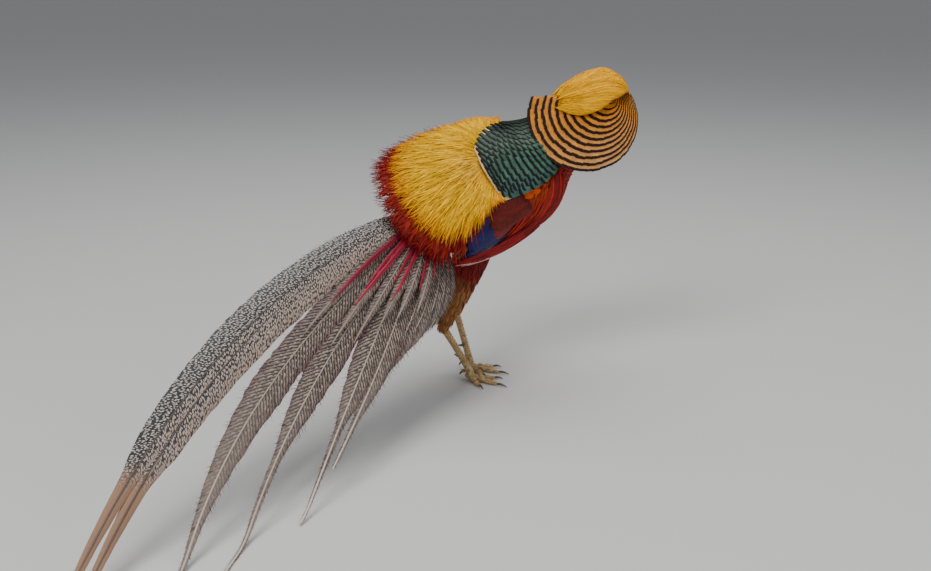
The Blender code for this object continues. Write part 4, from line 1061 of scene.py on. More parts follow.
capeCoat = dict(tiers=12, inner=0.12, most=44, fewest=16, length=0.30, half=0.0075, width=0.72, lift=0.0056,
                rootSink=0.0020, tipLift=0.0006, loose=(0.989, 1.006), bar=paint(34, 8, 5),
                tint=((0.56, 0.215, 0.022), (0.72, 0.235, 0.002)), pink=(0.60, 0.32, 0.13))
napeCoat = dict(rows=11, each=14, share=(0.95, 0.68), angle=(-128, 10), length=0.022, half=0.0050,
                tint=((0.60, 0.22, 0.02), (0.66, 0.20, 0.003)))


def coverCape():
    groups = []
    tiers = capeCoat["tiers"]
    ahead, down, face = capeAxes()
    first, last = capeShape["turns"]
    for tier in range(tiers):
        share = mix(capeCoat["inner"], 1.0, tier / (tiers - 1))
        count = int(max(capeCoat["fewest"], capeCoat["most"] * share))
        turn = spreadEvenly(first, last, count) + (tier % 2) * 2.0 + dice.uniform(-0.5, 0.5, count)
        cos, sin = circle(turn)
        full = capeReach(turn)
        reach = full * share * dice.uniform(*capeCoat["loose"], count)
        lift = capeCoat["lift"] * (1 - share)
        root = onCape(np.maximum(reach - capeCoat["length"] * full, 0.001), turn, lift - capeCoat["rootSink"])
        run = onCape(reach, turn, lift + capeCoat["tipLift"]) - root
        along = unit(run)
        slope = (capeReach(turn + 1) - capeReach(turn - 1)) / np.radians(2) / full
        sideways = np.sign((np.cross(along, face) * (ahead * -sin + down * cos)).sum(-1))
        arc = math.radians(last - first) * reach / count
        tint = mixRows(*capeCoat["tint"], np.clip(1.1 - share + dice.uniform(-0.12, 0.12, count), 0, 1))
        tint = mixRows(tint, capeCoat["pink"], hump(turn, 100, 40) * np.clip(share * 1.3 - 0.3, 0, 1) * 0.7)
        look = dict(rise=1.0, curl=0.0, camber=0.10, across=4, tilt=1.5, tint=tint * 0.8, tip=tint,
                    skew=slope * sideways, patch=np.stack((turn % 360 / 360, 0.02 + 0.9 * share * np.ones(count)), -1))
        groups.append(growVanes(root, along, np.broadcast_to(face, root.shape), np.linalg.norm(run, axis=-1),
                                np.minimum(arc * capeCoat["width"], capeCoat["half"]), squareTip, look))
    return groups


def coverNape():
    # the cape's feathers on the far side lie folded down the neck
    groups = []
    count = napeCoat["each"]
    for row, share in enumerate(np.linspace(*napeCoat["share"], napeCoat["rows"])):
        spots = np.stack((np.full(count, share), spreadEvenly(*napeCoat["angle"], count) + (row % 2) * 5), -1)
        tint = mixRows(*napeCoat["tint"], dice.random(count))
        groups.append(coatOnBody(spots, napeCoat["length"], napeCoat["half"], squareTip, dict(
            rise=8.0, curl=0.06, camber=0.2, across=4, tilt=2.0, tint=tint * 0.85, tip=tint), lift=0.0024))
    return groups


capeFinish = featherFinish("barredCapeFeather", roughness=0.5, many=34.0, slant=0.35, streak=0.22, shade=0.10,
                           bar=(0.885, 0.022, capeCoat["bar"]))
print("cape")
coatPiece("cape", coverCape() + coverNape(), capeFinish)


# Crest: silky strands from the forehead back over the head

crestCoat = dict(strands=2100, half=0.00080, widths=(0.6, 1, 1, 1, 0.9, 0.7, 0.45, 0.1),
                 root=((0.74, 0.32, 0.0), (0.76, 0.22, 0.0)), tip=((0.94, 0.52, 0.001), (0.84, 0.37, 0.0)))


def coverCrest():
    count = crestCoat["strands"]
    turn = mix(*crestShape["turns"], dice.random(count))
    start = np.where(dice.random(count) > 0.3, 6 + 66 * dice.random(count) ** 1.4, 60 + 50 * dice.random(count))
    start = np.maximum(start, readTable(crestShape["near"], turn, 0, 1))
    start = np.maximum(start, readTable(crestShape["far"], -turn, 0, 1))
    end = np.minimum(start + mix(46, 92, dice.random(count)), mix(126, 168, dice.random(count)))
    scale = mix(0.86, 1.02, dice.random(count) ** 0.6)
    stops = np.linspace(0, 1, len(crestCoat["widths"]))
    sway = dice.normal(0, 5, count)
    loose = (dice.random(count) > 0.82) * dice.uniform(0.02, 0.07, count)
    lines, normals = sweepLines(stops, lambda t: onCrest(
        mix(start, end, t), turn * (1 - 0.10 * t) + sway * t ** 2,
        scale * (1 - 0.10 * np.clip(1 - t / 0.2, 0, 1)) * (1 + loose * t ** 2)))
    normals = turned(normals, unit(lines[:, -1:] - lines[:, :1]), dice.uniform(-18, 18, count)[:, None])
    halves = hairWidths(count, crestCoat["half"], crestCoat["widths"])
    tint = mixRows(*crestCoat["root"], np.clip(1 - start / 60, 0, 1) * 0.7)
    return vanesFromLines(lines, normals, halves, stops, dict(
        camber=0.3, thick=0.0005, tint=tint, tip=mixRows(*crestCoat["tip"], dice.random(count)), fade=1.0,
        patch=np.stack((0.02 + 0.42 * (turn + 120) / 240, 0.66 + 0.28 * start / 100), -1)))


crestFinish = featherFinish("silkyCrest", roughness=0.45, many=6.0, slant=0.0, streak=0.22, shade=0.24,
                            Specular_IOR_Level=0.06)
print("crest")
shareEvenly("crest", [coverCrest(), coverCrest()], 2, crestFinish)


# Face: small close feathers on cheeks and throat

faceCoat = dict(length=0.0070, half=0.0012, clear=0.0074)


def coverFace():
    forward, angle = grid(np.linspace(0.019, -0.020, 22), np.arange(0, 360, 9.0))
    forward = forward + dice.uniform(-0.0008, 0.0008, len(forward))
    angle = angle + dice.uniform(-4, 4, len(angle))
    root, normal = onHead(forward, angle)
    clear = np.ones(len(forward), bool)
    for side in sides:
        clear &= np.linalg.norm(root - eyePlace(side), axis=-1) > faceCoat["clear"]
    forward, angle, root, normal = forward[clear], angle[clear], root[clear], normal[clear]
    aim = headAxes()[0]
    along = unit(-aim - normal * (-normal @ aim)[:, None])
    size = np.interp(forward, (-0.02, 0.019), (1.0, 0.45))
    tint = headTint(angle)
    return growVanes(root, along, normal, faceCoat["length"] * size, faceCoat["half"] * size, lockTip, dict(
        rise=8.0, curl=0.06, camber=0.3, thick=0.0003, tint=tint * 0.85, tip=tint * 1.1,
        patch=headPatch(forward, angle)))


faceFinish = featherFinish("faceFeather", roughness=0.6, many=8.0, slant=0.5, streak=0.3, shade=0.25)
print("face")
coatPiece("faceCoat", [coverFace()], faceFinish)


# Wings: maroon scapulars over blue tertials over brown flight feathers, and strands that hang over their edge

wingRows = dict(
    scapulars=dict(count=34, share=(0.455, 0.36), angle=(46, 70), length=0.030, half=0.0072, rise=7.0, lift=0.0055),
    coverts=dict(count=14, share=(0.39, 0.34), angle=(58, 78), length=0.023, half=0.0068, rise=6.0, lift=0.0045),
    tertials=dict(count=9, share=(0.37, 0.33), angle=(50, 101), length=0.056, half=0.0105, rise=5.0, lift=0.0035),
    secondaries=dict(count=9, share=(0.34, 0.30), angle=(62, 100), length=0.054, half=0.0080, rise=2.0, lift=0.002),
    primaries=dict(count=7, share=(0.31, 0.28), angle=(86, 104), length=0.056, half=0.0060, rise=1.0, lift=0.0005))
wingShorter = dict(right=1.0, left=0.8)


def wingGroup(row, side, tint, tip):
    sign = sides[side]
    count = row["count"]
    # the many small ones lie in no order, the long ones side by side
    t = (np.arange(count) + 0.5) / count
    if count > 12:
        t = dice.permutation(t)
    share = mix(*row["share"], dice.random(count) if count > 12 else t)
    angle = mix(*row["angle"], t)
    order = np.argsort(share)
    spots = np.stack((share[order], sign * angle[order]), -1)
    tone = dice.random(count)
    length = row["length"] * wingShorter[side] * dice.uniform(0.95, 1.05, count)
    return coatOnBody(spots, length, row["half"], roundTip, dict(
        rise=row["rise"], curl=0.05, camber=0.16, across=4, tilt=3.5 * sign, tint=np.broadcast_to(tint, (count, 3)),
        tone=tone, tip=np.broadcast_to(tip, (count, 3))), fan=sign * mix(2, -5, t), lift=row["lift"])


def coverWing(side):
    for name, finish, rows, replaced in wingPieces:
        groups = [wingGroup(wingRows[key], side, np.array(tint) * low, np.array(tint) * high)
                  for key, tint, low, high in rows]
        coatPiece(f"{name}_{side}", groups, finish, [node + side for node in replaced])


# front, low: count, share, angle, drop, run, lift; hanging, pale: count, spread, starts, two tints
flankCoat = dict(front=(900, (0.38, 0.62), (52, 112), (0.7, 1.1), (0.13, 0.26), (0.002, 0.006)),
                 low=(300, (0.29, 0.44), (98, 114), (0.3, 0.9), (0.17, 0.30), (0.008, 0.013)),
                 hanging=(300, (-0.0010, 0.0160), (0.0, 0.55), (0.12, 0.003, 0.004), (0.34, 0.010, 0.012)),
                 pale=(46, (-0.0022, -0.0008), (0.40, 0.60), (0.50, 0.20, 0.20), (0.68, 0.46, 0.42)), half=0.00125,
                 wingEdge=((0.28, 110), (0.31, 106), (0.34, 94), (0.40, 76), (0.46, 58), (0.62, 52)),
                 red=((0.13, 0.003, 0.004), (0.36, 0.008, 0.006)), flame=(0.80, 0.14, 0.003),
                 hangOut=np.array((0.10, -0.42, 0.90)), hangFace=unit(np.array((0.15, -0.95, 0.05))),
                 hang=((0.0672, -0.0400, 0.1960), (0.0540, -0.0405, 0.1850), (0.0367, -0.0440, 0.1745),
                       (0.0225, -0.0500, 0.1680), (0.0045, -0.0575, 0.1622), (-0.0126, -0.0630, 0.1579),
                       (-0.0300, -0.0665, 0.1556)))


def flankStrands(count, shares, angles, drop, run, lift):
    # strands on both flanks: they follow the body down past the wing and then back along its lower edge
    side = np.where(np.arange(count) % 2 == 0, 1, -1)
    share = mix(*shares, dice.random(count))
    angle = mix(*angles, dice.random(count))
    angle = np.maximum(angle, readTable(flankCoat["wingEdge"], share) + dice.uniform(-4, 6, count))
    fall = np.clip(114 - angle, 0, None) * dice.uniform(*drop, count)
    back = dice.uniform(*run, count)
    height = dice.uniform(*lift, count)
    stops = np.linspace(0, 1, 9)
    lines, normals = sweepLines(stops, lambda t: onBody(
        share - back * t ** 1.25, side * (angle + fall * (1 - (1 - t) ** 1.6)),
        height * np.sin(min(t * 2.0, 1.57)) + 0.001))
    halves = hairWidths(count, flankCoat["half"], np.interp(stops, (0, 0.4, 0.8, 1), (0.7, 1, 0.6, 0.1)))
    tint, tip = crimson(share, angle, count)
    return vanesFromLines(lines, normals, halves, stops, dict(
        camber=0.3, tint=tint, tip=tip, fade=0.4, patch=onBand("body", share, side * angle)))


def crimson(share, angle, count):
    tint = mixRows(*flankCoat["red"], dice.random(count))
    flame = hump(share, 0.50, 0.045) * hump(angle, 54, 9) * dice.uniform(0.2, 1, count)
    return mixRows(tint * 0.9, flankCoat["flame"], flame * 0.9), tint * 1.15


def lowStrands(count, spread, starts, low, high):
    # on the side shown, long strands hang from the breast over the wing's lower edge and the top of the thigh
    begin = mix(*starts, dice.random(count))
    end = np.minimum(begin + dice.uniform(0.35, 0.60, count), dice.uniform(0.86, 1.0, count))
    drop = mix(*spread, dice.random(count))
    swing = dice.normal(0, 0.0010, count)
    facing = np.broadcast_to(flankCoat["hangFace"], (count, 3))
    stops = np.linspace(0, 1, 9)

    def place(t):
        along = mix(begin, end, t)
        lift = drop * mix(1.0, 0.40, along) + swing * t ** 2
        return smoothRow(flankCoat["hang"], along) + flankCoat["hangOut"] * lift[:, None], facing

    lines, normals = sweepLines(stops, place)
    halves = hairWidths(count, flankCoat["half"], np.interp(stops, (0, 0.4, 0.8, 1), (0.5, 1, 0.6, 0.1)), (0.6, 1.2))
    tint = mixRows(low, high, dice.random(count))
    patch = onBand("body", mix(0.44, 0.10, begin), np.full(count, 104.0))
    return vanesFromLines(lines, normals, halves, stops, dict(camber=0.3, tint=tint * 0.9, tip=tint * 1.2, patch=patch))


def coverFlank():
    return [grow(*flankCoat[kind]) for kind, grow in (
        ("front", flankStrands), ("low", flankStrands), ("hanging", lowStrands), ("pale", lowStrands))]


scapularFinish = featherFinish("maroonFeather", roughness=0.45, many=30.0, slant=0.5, streak=0.35, shade=0.2)
tertialFinish = featherFinish("blueFeather", roughness=0.32, many=46.0, slant=0.6, streak=0.3, shade=0.15,
                              Metallic=0.2)
quillFinish = featherFinish("flightFeather", roughness=0.5, many=60.0, slant=0.6, streak=0.35, shade=0.15,
                            edge=(0.84, 0.97, paint(122, 88, 60)), shaft=(0.05, paint(120, 84, 60)))
maroon, blue = bodyTints["maroon"], bodyTints["blue"]
brown = paint(84, 52, 34)
# each piece of a wing: its rows with their tint, darker at the root and lighter at the tip
wingPieces = (
    ("scapulars", scapularFinish, (("scapulars", maroon, 0.8, 1.15), ("coverts", maroon, 1.0, 1.6)), ["wing_"]),
    ("tertials", tertialFinish, (("tertials", blue, 0.8, 1.2),), []),
    ("quills", quillFinish, (("secondaries", brown, 1.0, 1.1), ("primaries", brown, 0.8, 1.0)), []))
print("wings")
for side in sides:
    coverWing(side)
coatPiece("flankStrands", coverFlank(), redFinish)


# Thighs

thighCoat = dict(length=0.018, half=0.0021, tint=((0.30, 0.125, 0.040), (0.17, 0.006, 0.005)),
                 sizes=((0.2, 1.0), (0.75, 0.80), (0.93, 0.50), (1.0, 0.25)),
                 rises=((0.0, 6), (0.25, 12), (0.7, 13), (1.0, 7)))


def coverThigh(side):
    down, turn = grid(np.linspace(-0.06, 0.975, 46), np.arange(0, 360, 10.0))
    count = len(down)
    down = down + dice.uniform(-0.012, 0.012, count)
    turn = turn + dice.uniform(-6, 6, count)
    middle, half, out, tangent = onThigh(side, down, turn)
    tint = mixRows(*thighCoat["tint"], ramp(down, 0.50, 0.32)) * dice.uniform(0.7, 1.2, (count, 1))
    size = readTable(thighCoat["sizes"], down) * dice.uniform(0.75, 1.25, count)
    rise = readTable(thighCoat["rises"], down) + dice.uniform(-4, 6, count)
    return growVanes(middle + out * (half - 0.0006), np.broadcast_to(tangent, out.shape), out,
                     thighCoat["length"] * size, thighCoat["half"] * np.sqrt(size), lockTip, dict(
        rise=rise, curl=0.16, camber=0.3, tint=tint * 0.7, tip=tint * 1.25, sweep=dice.uniform(-0.14, 0.14, count),
        patch=onBand(side, down, turn)))


thighFinish = featherFinish("thighFeather", roughness=0.6, many=14.0, slant=1.2, streak=0.4, shade=0.3)
print("thighs")
coatPiece("thighCoat", [coverThigh(side) for side in sides], thighFinish)


# Tail: long vanes with their own shafts

middleProfile = ((0.0, 0.40), (0.10, 0.80), (0.25, 0.92), (0.38, 1.0), (0.50, 0.94), (0.62, 0.82), (0.71, 0.69),
                 (0.78, 0.34), (0.88, 0.22), (1.0, 0.09))


def sideProfile(bare):
    # the vane swells, then runs out to the nearly bare shaft at a share of the feather's length
    return ((0.0, 0.35), (0.14, 0.70), (bare * 0.42, 0.95), (bare * 0.68, 1.0), (bare * 0.84, 0.70), (bare, 0.26),
            (mix(bare, 1.0, 0.5), 0.14), (1.0, 0.06))


def tailLine(length, rootTurn, tipTurn, bend, layer, sag=0.0, steps=90):
    # a feather in the fan's plane, eased on to the floor where it would pass through it
    stops = np.linspace(0, 1, steps)
    line = onFan(mix(tailShape["start"], length, stops), mix(rootTurn, tipTurn, stops ** bend),
                 -layer * tailShape["layer"] - sag * stops ** 3)
    soft = tailShape["floorSoft"]
    height = line[:, 2]
    line[:, 2] = 0.0006 + np.where(height > soft, height, np.clip(height + soft, 0, None) ** 2 / (4 * soft))
    low = np.clip(1 - line[:, 2] / tailShape["floorEase"], 0, 1)
    return line, unit(mixRows(tailShape["face"], up, low)), stops


def runOf(line):
    return np.linalg.norm(np.diff(line, axis=0), axis=1).sum()


# the shafts: their tints on the two sides of the fan and on the long pair, and at the base
shaftTints = dict(right=(0.62, 0.53, 0.43), left=(0.30, 0.24, 0.20), middle=(0.24, 0.135, 0.085),
                  base=(0.24, 0.19, 0.16), middleBase=(0.080, 0.070, 0.066))


def tailVane(index, line, normal, stops, half, profile, camber, tint, shaftTint, ragged=0.06,
             shaftBase=shaftTints["base"], shaftFade=1.3):
    widths = half * readTable(profile, stops)
    place = dict(patch=np.array([(0.02 + 0.037 * index, 0.5)]), patchSize=(0.034, 0.96), thick=0.0007, floor=True)
    vane = vanesFromLines(line[None], normal[None], widths[None], stops, dict(
        place, across=8, camber=camber, ragged=ragged, tint=np.array([tint]), lengths=runOf(line),
        tone=np.array([(index * 0.37) % 1])))
    ridge = line + normal * (camber * widths[:, None] + 0.0003)
    shaftHalf = mix(0.00035, 0.0010, stops) * np.minimum(1, widths / 0.0012)
    shaft = vanesFromLines(ridge[None], normal[None], shaftHalf[None], stops, dict(
        place, across=4, camber=0.6, fade=shaftFade, tint=np.array([shaftBase]), tip=np.array([shaftTint])))
    return vane, shaft


barbRows = dict(step=0.0021, slant=34, half=0.00032, period=0.0055, dark=(0.040, 0.030, 0.029),
                pale=(0.26, 0.19, 0.15))


def looseBarbs(index, line, normal, half, profile):
    # separate barbs along both edges, dark and buff in turn as the bars are
    length = runOf(line)
    count = int(length / barbRows["step"])
    share = np.linspace(0.06, 0.985, count) + dice.uniform(-0.3, 0.3, count) / count
    steps = np.linspace(0, 1, len(line))

    def at(rows, share):
        return np.stack([np.interp(share, steps, rows[:, k]) for k in range(3)], -1)

    root = at(line, share)
    face = unit(at(normal, share))
    ahead = unit(at(line, share + 0.01) - at(line, share - 0.01))
    width = half * readTable(profile, share) + 0.0012
    groups = []
    for sign in (1, -1):
        out = turned(ahead, face, sign * (barbRows["slant"] + dice.uniform(-7, 7, count)))
        reach = width / math.sin(math.radians(barbRows["slant"])) * dice.uniform(0.70, 0.99, count)
        begin = root + out * (reach * 0.30)[:, None] + face * (dice.random(count) * 0.0006 + 0.0002)[:, None]
        run = share * length - width * 1.15
        dark = (np.sin(run / barbRows["period"] * 2 * math.pi) > -0.1)[:, None]
        tint = np.where(dark, barbRows["dark"], np.array(barbRows["pale"]) * dice.uniform(0.8, 1.3, (count, 1)))
        groups.append(growVanes(begin, out, face, reach * 0.70, barbRows["half"], lockTip, dict(
            rise=dice.uniform(-1, 3, count), curl=0.02, sweep=-sign * 0.10, thick=0.0003, floor=True,
            tint=tint, patch=np.stack((np.full(count, 0.02 + 0.037 * index), 0.02 + 0.96 * share), -1))))
    return groups


def barredBase(name, roughness, slant):
    # what both patterned tail finishes share: metres across and along the vane, and along it at a slant
    finish, tree, shader = newFinish(name, roughness)
    sideways, ahead = splitUv(tree, "size")
    run = maths(tree, "SUBTRACT", ahead, times(tree, maths(tree, "ABSOLUTE", sideways), slant))
    return finish, tree, shader, sideways, ahead, run


def closeBarbed(tree, shader, colour, along, off, tone, many, low, high):
    fine = barbs(tree, along, off, tone, many, 0.25)
    closeFinish(tree, shader, lit(tree, colour, easeBetween(tree, fine, 0.3, 0.7, low, high)), fine, 0.4)


def chevronFinish():
    # oblique dark bars on both sides of the shaft, broken by a little noise, fading to plain near the tip
    finish, tree, shader, sideways, ahead, run = barredBase("barredTailFeather", 0.55, 1.45)
    _, along, off, tint, tone = featherParts(tree)
    noise = noiseAt(tree, vector(tree, sideways, ahead, tone), 260.0, 3.0)
    run = stirred(tree, run, noise, 0.0070)
    wave = maths(tree, "SINE", times(tree, run, 2 * math.pi / barbRows["period"]))
    buff = blendColours(tree, easeBetween(tree, noise, 0.35, 0.65), (0.11, 0.075, 0.062), (0.38, 0.29, 0.22))
    margin = blendColours(tree, easeBetween(tree, off, 0.26, 0.5), buff, tint)
    colour = blendColours(tree, easeBetween(tree, wave, -0.60, 0.35), (0.016, 0.012, 0.013), margin)
    fade = times(tree, easeBetween(tree, along, 0.45, 0.85), 0.70)
    colour = blendColours(tree, fade, colour, (0.22, 0.165, 0.140))
    closeBarbed(tree, shader, colour, along, off, tone, 240.0, 0.7, 1.2)
    return finish


def spottedFinish():
    # cream spots in slanting rows on black, finer and browner on the lower side, plain cinnamon past the spots
    finish, tree, shader, sideways, _, run = barredBase("spottedTailFeather", 0.45, 0.60)
    across, along, off, _, tone = featherParts(tree)
    spot = vector(tree, times(tree, sideways, 350.0), times(tree, run, 520.0), tone)
    moved = put(tree, "ShaderNodeVectorMath", {"operation": "MULTIPLY_ADD"},
                {0: noiseAt(tree, spot, 0.6, 1.0, 1), 1: (0.9, 0.9, 0.0), 2: spot}).outputs[0]
    cells = put(tree, "ShaderNodeTexVoronoi", {"feature": "F1", "voronoi_dimensions": "2D"},
                {"Vector": moved, "Scale": 1.0, "Randomness": 0.80}).outputs[0]
    lower = easeBetween(tree, across, 0.05, 0.75, 1.0, 0.0)
    ends = [maths(tree, "ADD", base, times(tree, lower, more)) for base, more in ((0.20, 0.17), (0.37, 0.18))]
    cream = blendColours(tree, lower, (0.52, 0.46, 0.40), (0.42, 0.31, 0.25))
    dark = blendColours(tree, lower, (0.010, 0.009, 0.011), (0.045, 0.030, 0.026))
    colour = blendColours(tree, easeBetween(tree, cells, *ends, 1.0, 0.0), dark, cream)
    colour = blendColours(tree, easeBetween(tree, along, 0.74, 0.80), colour, (0.30, 0.165, 0.095))
    closeBarbed(tree, shader, colour, along, off, tone, 300.0, 0.75, 1.15)
    return finish


marginTints = dict(pinkish=(0.17, 0.085, 0.080), slate=(0.030, 0.026, 0.045))


def coverTail():
    vanes = []
    shafts = []
    loose = []
    for key in ("right", "left", "coverts"):
        for k, (length, rootTurn, tipTurn, bend, half, bare, layer) in enumerate(tailShape[key]):
            line, normal, stops = tailLine(length, rootTurn, tipTurn, bend, layer)
            profile = sideProfile(bare)
            tint = marginTints["slate" if key == "right" and k > 5 else "pinkish"]
            bright = shaftTints["right" if key == "right" else "left"]
            vane, shaft = tailVane(len(vanes), line, normal, stops, half, profile, 0.10, tint, bright)
            loose += looseBarbs(len(vanes), line, normal, half, profile)
            vanes.append(vane)
            shafts.append(shaft)
    coatPiece("sideTailFeathers", vanes, chevronFinish(), ("tail",))
    coatPiece("looseBarbs", loose, featherFinish("tailBarb", roughness=0.5, many=6.0, streak=0.2, shade=0.2))
    middle = tailShape["middle"]
    longVanes = []
    for k, turn in enumerate((-1.0, 1.0)):
        line, normal, stops = tailLine(middle["length"] - 0.012 * k, middle["turn"] + turn,
                                       middle["tip"] + turn * 0.45, middle["bend"], k, middle["sag"])
        vane, shaft = tailVane(len(vanes) + k, line, normal, stops, middle["half"], middleProfile, 0.22,
                               marginTints["pinkish"], shaftTints["middle"], ragged=0.03,
                               shaftBase=shaftTints["middleBase"], shaftFade=6.0)
        longVanes.append(vane)
        shafts.append(shaft)
    coatPiece("longTailFeathers", longVanes, spottedFinish())
    shaftFinish = featherFinish("paleShaft", roughness=0.4, many=4.0, streak=0.1, shade=0.1)
    coatPiece("tailShafts", shafts, shaftFinish)


# rows: length, turn at the root and at the tip, half width
plumeShape = dict(start=0.016, lift=(0.0060, 0.0042), root=(0.16, 0.004, 0.014), tip=(0.42, 0.020, 0.055), rows=(
    (0.196, -10, -3.0, 0.0031), (0.150, -4, 2.0, 0.0022), (0.178, 3, 3.0, 0.0030), (0.120, 13, 11.0, 0.0026),
    (0.142, 20, 14.0, 0.0026), (0.112, 33, 26.0, 0.0026), (0.090, 44, 36.0, 0.0020)))


def coverPlumes():
    groups = []
    for k, (length, rootTurn, tipTurn, half) in enumerate(plumeShape["rows"]):
        stops = np.linspace(0, 1, 24)
        line = onFan(mix(plumeShape["start"], length, stops), mix(rootTurn, tipTurn, stops ** 0.7),
                     mix(*plumeShape["lift"], stops))
        normal = np.broadcast_to(tailShape["face"], line.shape)
        widths = half * np.interp(stops, (0, 0.3, 0.7, 1), (0.7, 1.0, 0.8, 0.1))
        groups.append(vanesFromLines(line[None], normal[None], widths[None], stops, dict(
            across=4, thick=0.0006, ragged=0.25, tint=np.array([plumeShape["root"]]),
            tip=np.array([plumeShape["tip"]]), tone=np.array([(k * 0.41) % 1]),
            patch=np.array([(0.1 + 0.09 * k, 0.5)]), patchSize=(0.04, 0.4))))
    return groups


plumeFinish = featherFinish("scarletPlume", roughness=0.45, many=60.0, slant=0.5, streak=0.5, shade=0.2,
                            shaft=(0.10, paint(60, 20, 26)))
print("tail")
coverTail()
coatPiece("scarletPlumes", coverPlumes(), plumeFinish)


# Eyes, lids and bill

def eyeFinishes():
    finishes = []
    for name, colour, roughness in (("irisPale", paint(232, 196, 84), 0.15), ("pupilBlack", paint(6, 6, 8), 0.05),
                                    ("eyeRim", paint(60, 40, 26), 0.3)):
        finish, tree, shader = newFinish(name, roughness, Coat_Weight=0.6)
        shade = blendColours(tree, noiseAt(tree, objectPlace(tree), 900.0, 2.0), tuple(0.7 * c for c in colour), colour)
        tree.links.new(shade, shader.inputs["Base Color"])
        finishes.append(finish)
    return finishes


def addAtEye(out, add, **sizes):
    # a primitive in front of an eye, turned to face out
    turn = Vector((0, 0, 1)).rotation_difference(Vector(out)).to_euler()
    add(rotation=turn, **sizes)
    bpy.ops.object.transform_apply(location=True, rotation=True, scale=True)
    return bpy.context.object


def makeEyes(finishes):
    aim, right, top = headAxes()
    for side, sign in sides.items():
        out = unit(right * sign + aim * 0.25 + top * 0.05)
        centre = eyePlace(side)
        eye = addAtEye(out, bpy.ops.mesh.primitive_uv_sphere_add, segments=40, ring_count=40,
                       radius=eyeShape["radius"], location=Vector(centre))
        eye.name = f"eye{side.title()}"
        for face in eye.data.polygons:
            lean = math.degrees(math.acos(max(-1.0, min(1.0, float(unit(np.array(face.center) - centre) @ out)))))
            face.material_index = 1 if lean < eyeShape["pupil"] else (0 if lean < eyeShape["iris"] else 2)
        bpy.ops.object.shade_smooth()
        placeHome(eye)
        finishPiece(eye, finishes, (f"eye_{side}",))


def bareFinish(name, colour, scale, strength, roughness):
    finish, tree, shader = newFinish(name, roughness)
    noise = noiseAt(tree, objectPlace(tree), scale, 4.0)
    shade = blendColours(tree, easeBetween(tree, noise, 0.3, 0.7), tuple(0.55 * c for c in colour), colour)
    closeFinish(tree, shader, shade, noise, strength, 0.0003)
    return finish


lidShape = dict(radius=0.0047, thick=0.0010, out=0.0020)


def makeLids():
    right = headAxes()[1]
    lids = [addAtEye(right * sign, bpy.ops.mesh.primitive_torus_add, major_segments=40, minor_segments=12,
                     major_radius=lidShape["radius"], minor_radius=lidShape["thick"],
                     location=Vector(eyePlace(side) + right * sign * lidShape["out"]))
            for side, sign in sides.items()]
    lid = joinAll(lids)
    lid.name = "lids"
    bpy.ops.object.shade_smooth()
    placeHome(lid)
    finishPiece(lid, [bareFinish("bareLid", paint(216, 176, 92), 900.0, 0.6, 0.5)])


# forms: name, up or down, share of the length, flatness, share of the width, node
billShape = dict(length=0.0215, droop=0.0034, forms=(("billUpper", 1, 1.0, 0.45, 1.0, "beak_upper"),
                                       ("billLower", -1, 0.88, 0.32, 0.92, "beak_lower")),
                 halves=((-0.10, 0.0062, 0.0064), (0.0, 0.0060, 0.0062), (0.30, 0.0050, 0.0052),
                         (0.62, 0.0034, 0.0038), (0.88, 0.0018, 0.0024), (1.0, 0.0008, 0.0012)))
nostrilShape = dict(radius=0.0010, stretch=(1.6, 1.0, 0.8), ahead=0.0055, out=0.0048, up=0.0030)


def finishSolid(pieces, name, finish, replaced=()):
    piece = joinAll(pieces)
    piece.name = name
    outwards(piece)
    placeHome(piece)
    finishPiece(piece, [finish], replaced)


def cutNostril(bill, place):
    bpy.ops.mesh.primitive_uv_sphere_add(segments=16, ring_count=10, radius=nostrilShape["radius"],
                                         location=Vector(place), scale=nostrilShape["stretch"])
    cutter = bpy.context.object
    step = bill.modifiers.new("nostril", "BOOLEAN")
    step.operation = "DIFFERENCE"
    step.object = cutter
    bpy.context.view_layer.objects.active = bill
    bpy.ops.object.modifier_apply(modifier=step.name)
    bpy.data.objects.remove(cutter, do_unlink=True)


def makeBill():
    aim, right, top = headAxes()
    base = headShape["at"] + aim * headShape["rings"][-1][0]
    length, droop = billShape["length"], billShape["droop"]
    ahead, outward, rise = (nostrilShape[key] for key in ("ahead", "out", "up"))
    for name, upper, share, flat, narrow, node in billShape["forms"]:
        rows = [(*(base + aim * (length * share * t) + top * (upper * high * flat - droop * t * abs(t))),
                 half * narrow, high * flat + 0.0002) for t, half, high in billShape["halves"]]
        bill = sphereOnPath(name, rows, 28, 28, guide=tuple(top), ends=(0.08, 0.10))
        for sign in sides.values() if upper > 0 else ():
            cutNostril(bill, base + aim * ahead + right * (sign * outward) + top * rise)
        finishSolid([bill], name, hornFinish, (node,))


print("eyes and bill")
hornFinish = bareFinish("billHorn", paint(170, 148, 104), 500.0, 0.2, 0.35)
makeEyes(eyeFinishes())
makeLids()
makeBill()


# Legs: scaly shanks, toes with knuckles, claws and a spur

def scaleFinish():
    finish, tree, shader = newFinish("legScales", 0.45)
    place = objectPlace(tree)
    cells = put(tree, "ShaderNodeTexVoronoi", {"feature": "DISTANCE_TO_EDGE"}, {"Vector": place, "Scale": 420.0})
    seam = easeBetween(tree, cells.outputs[0], 0.02, 0.14)
    patchy = easeBetween(tree, noiseAt(tree, place, 90.0, 3.0), 0.35, 0.65)
    horn = blendColours(tree, patchy, paint(178, 144, 92), paint(212, 184, 128))
    closeFinish(tree, shader, blendColours(tree, seam, paint(128, 98, 60), horn), seam, 0.5)
    return finish


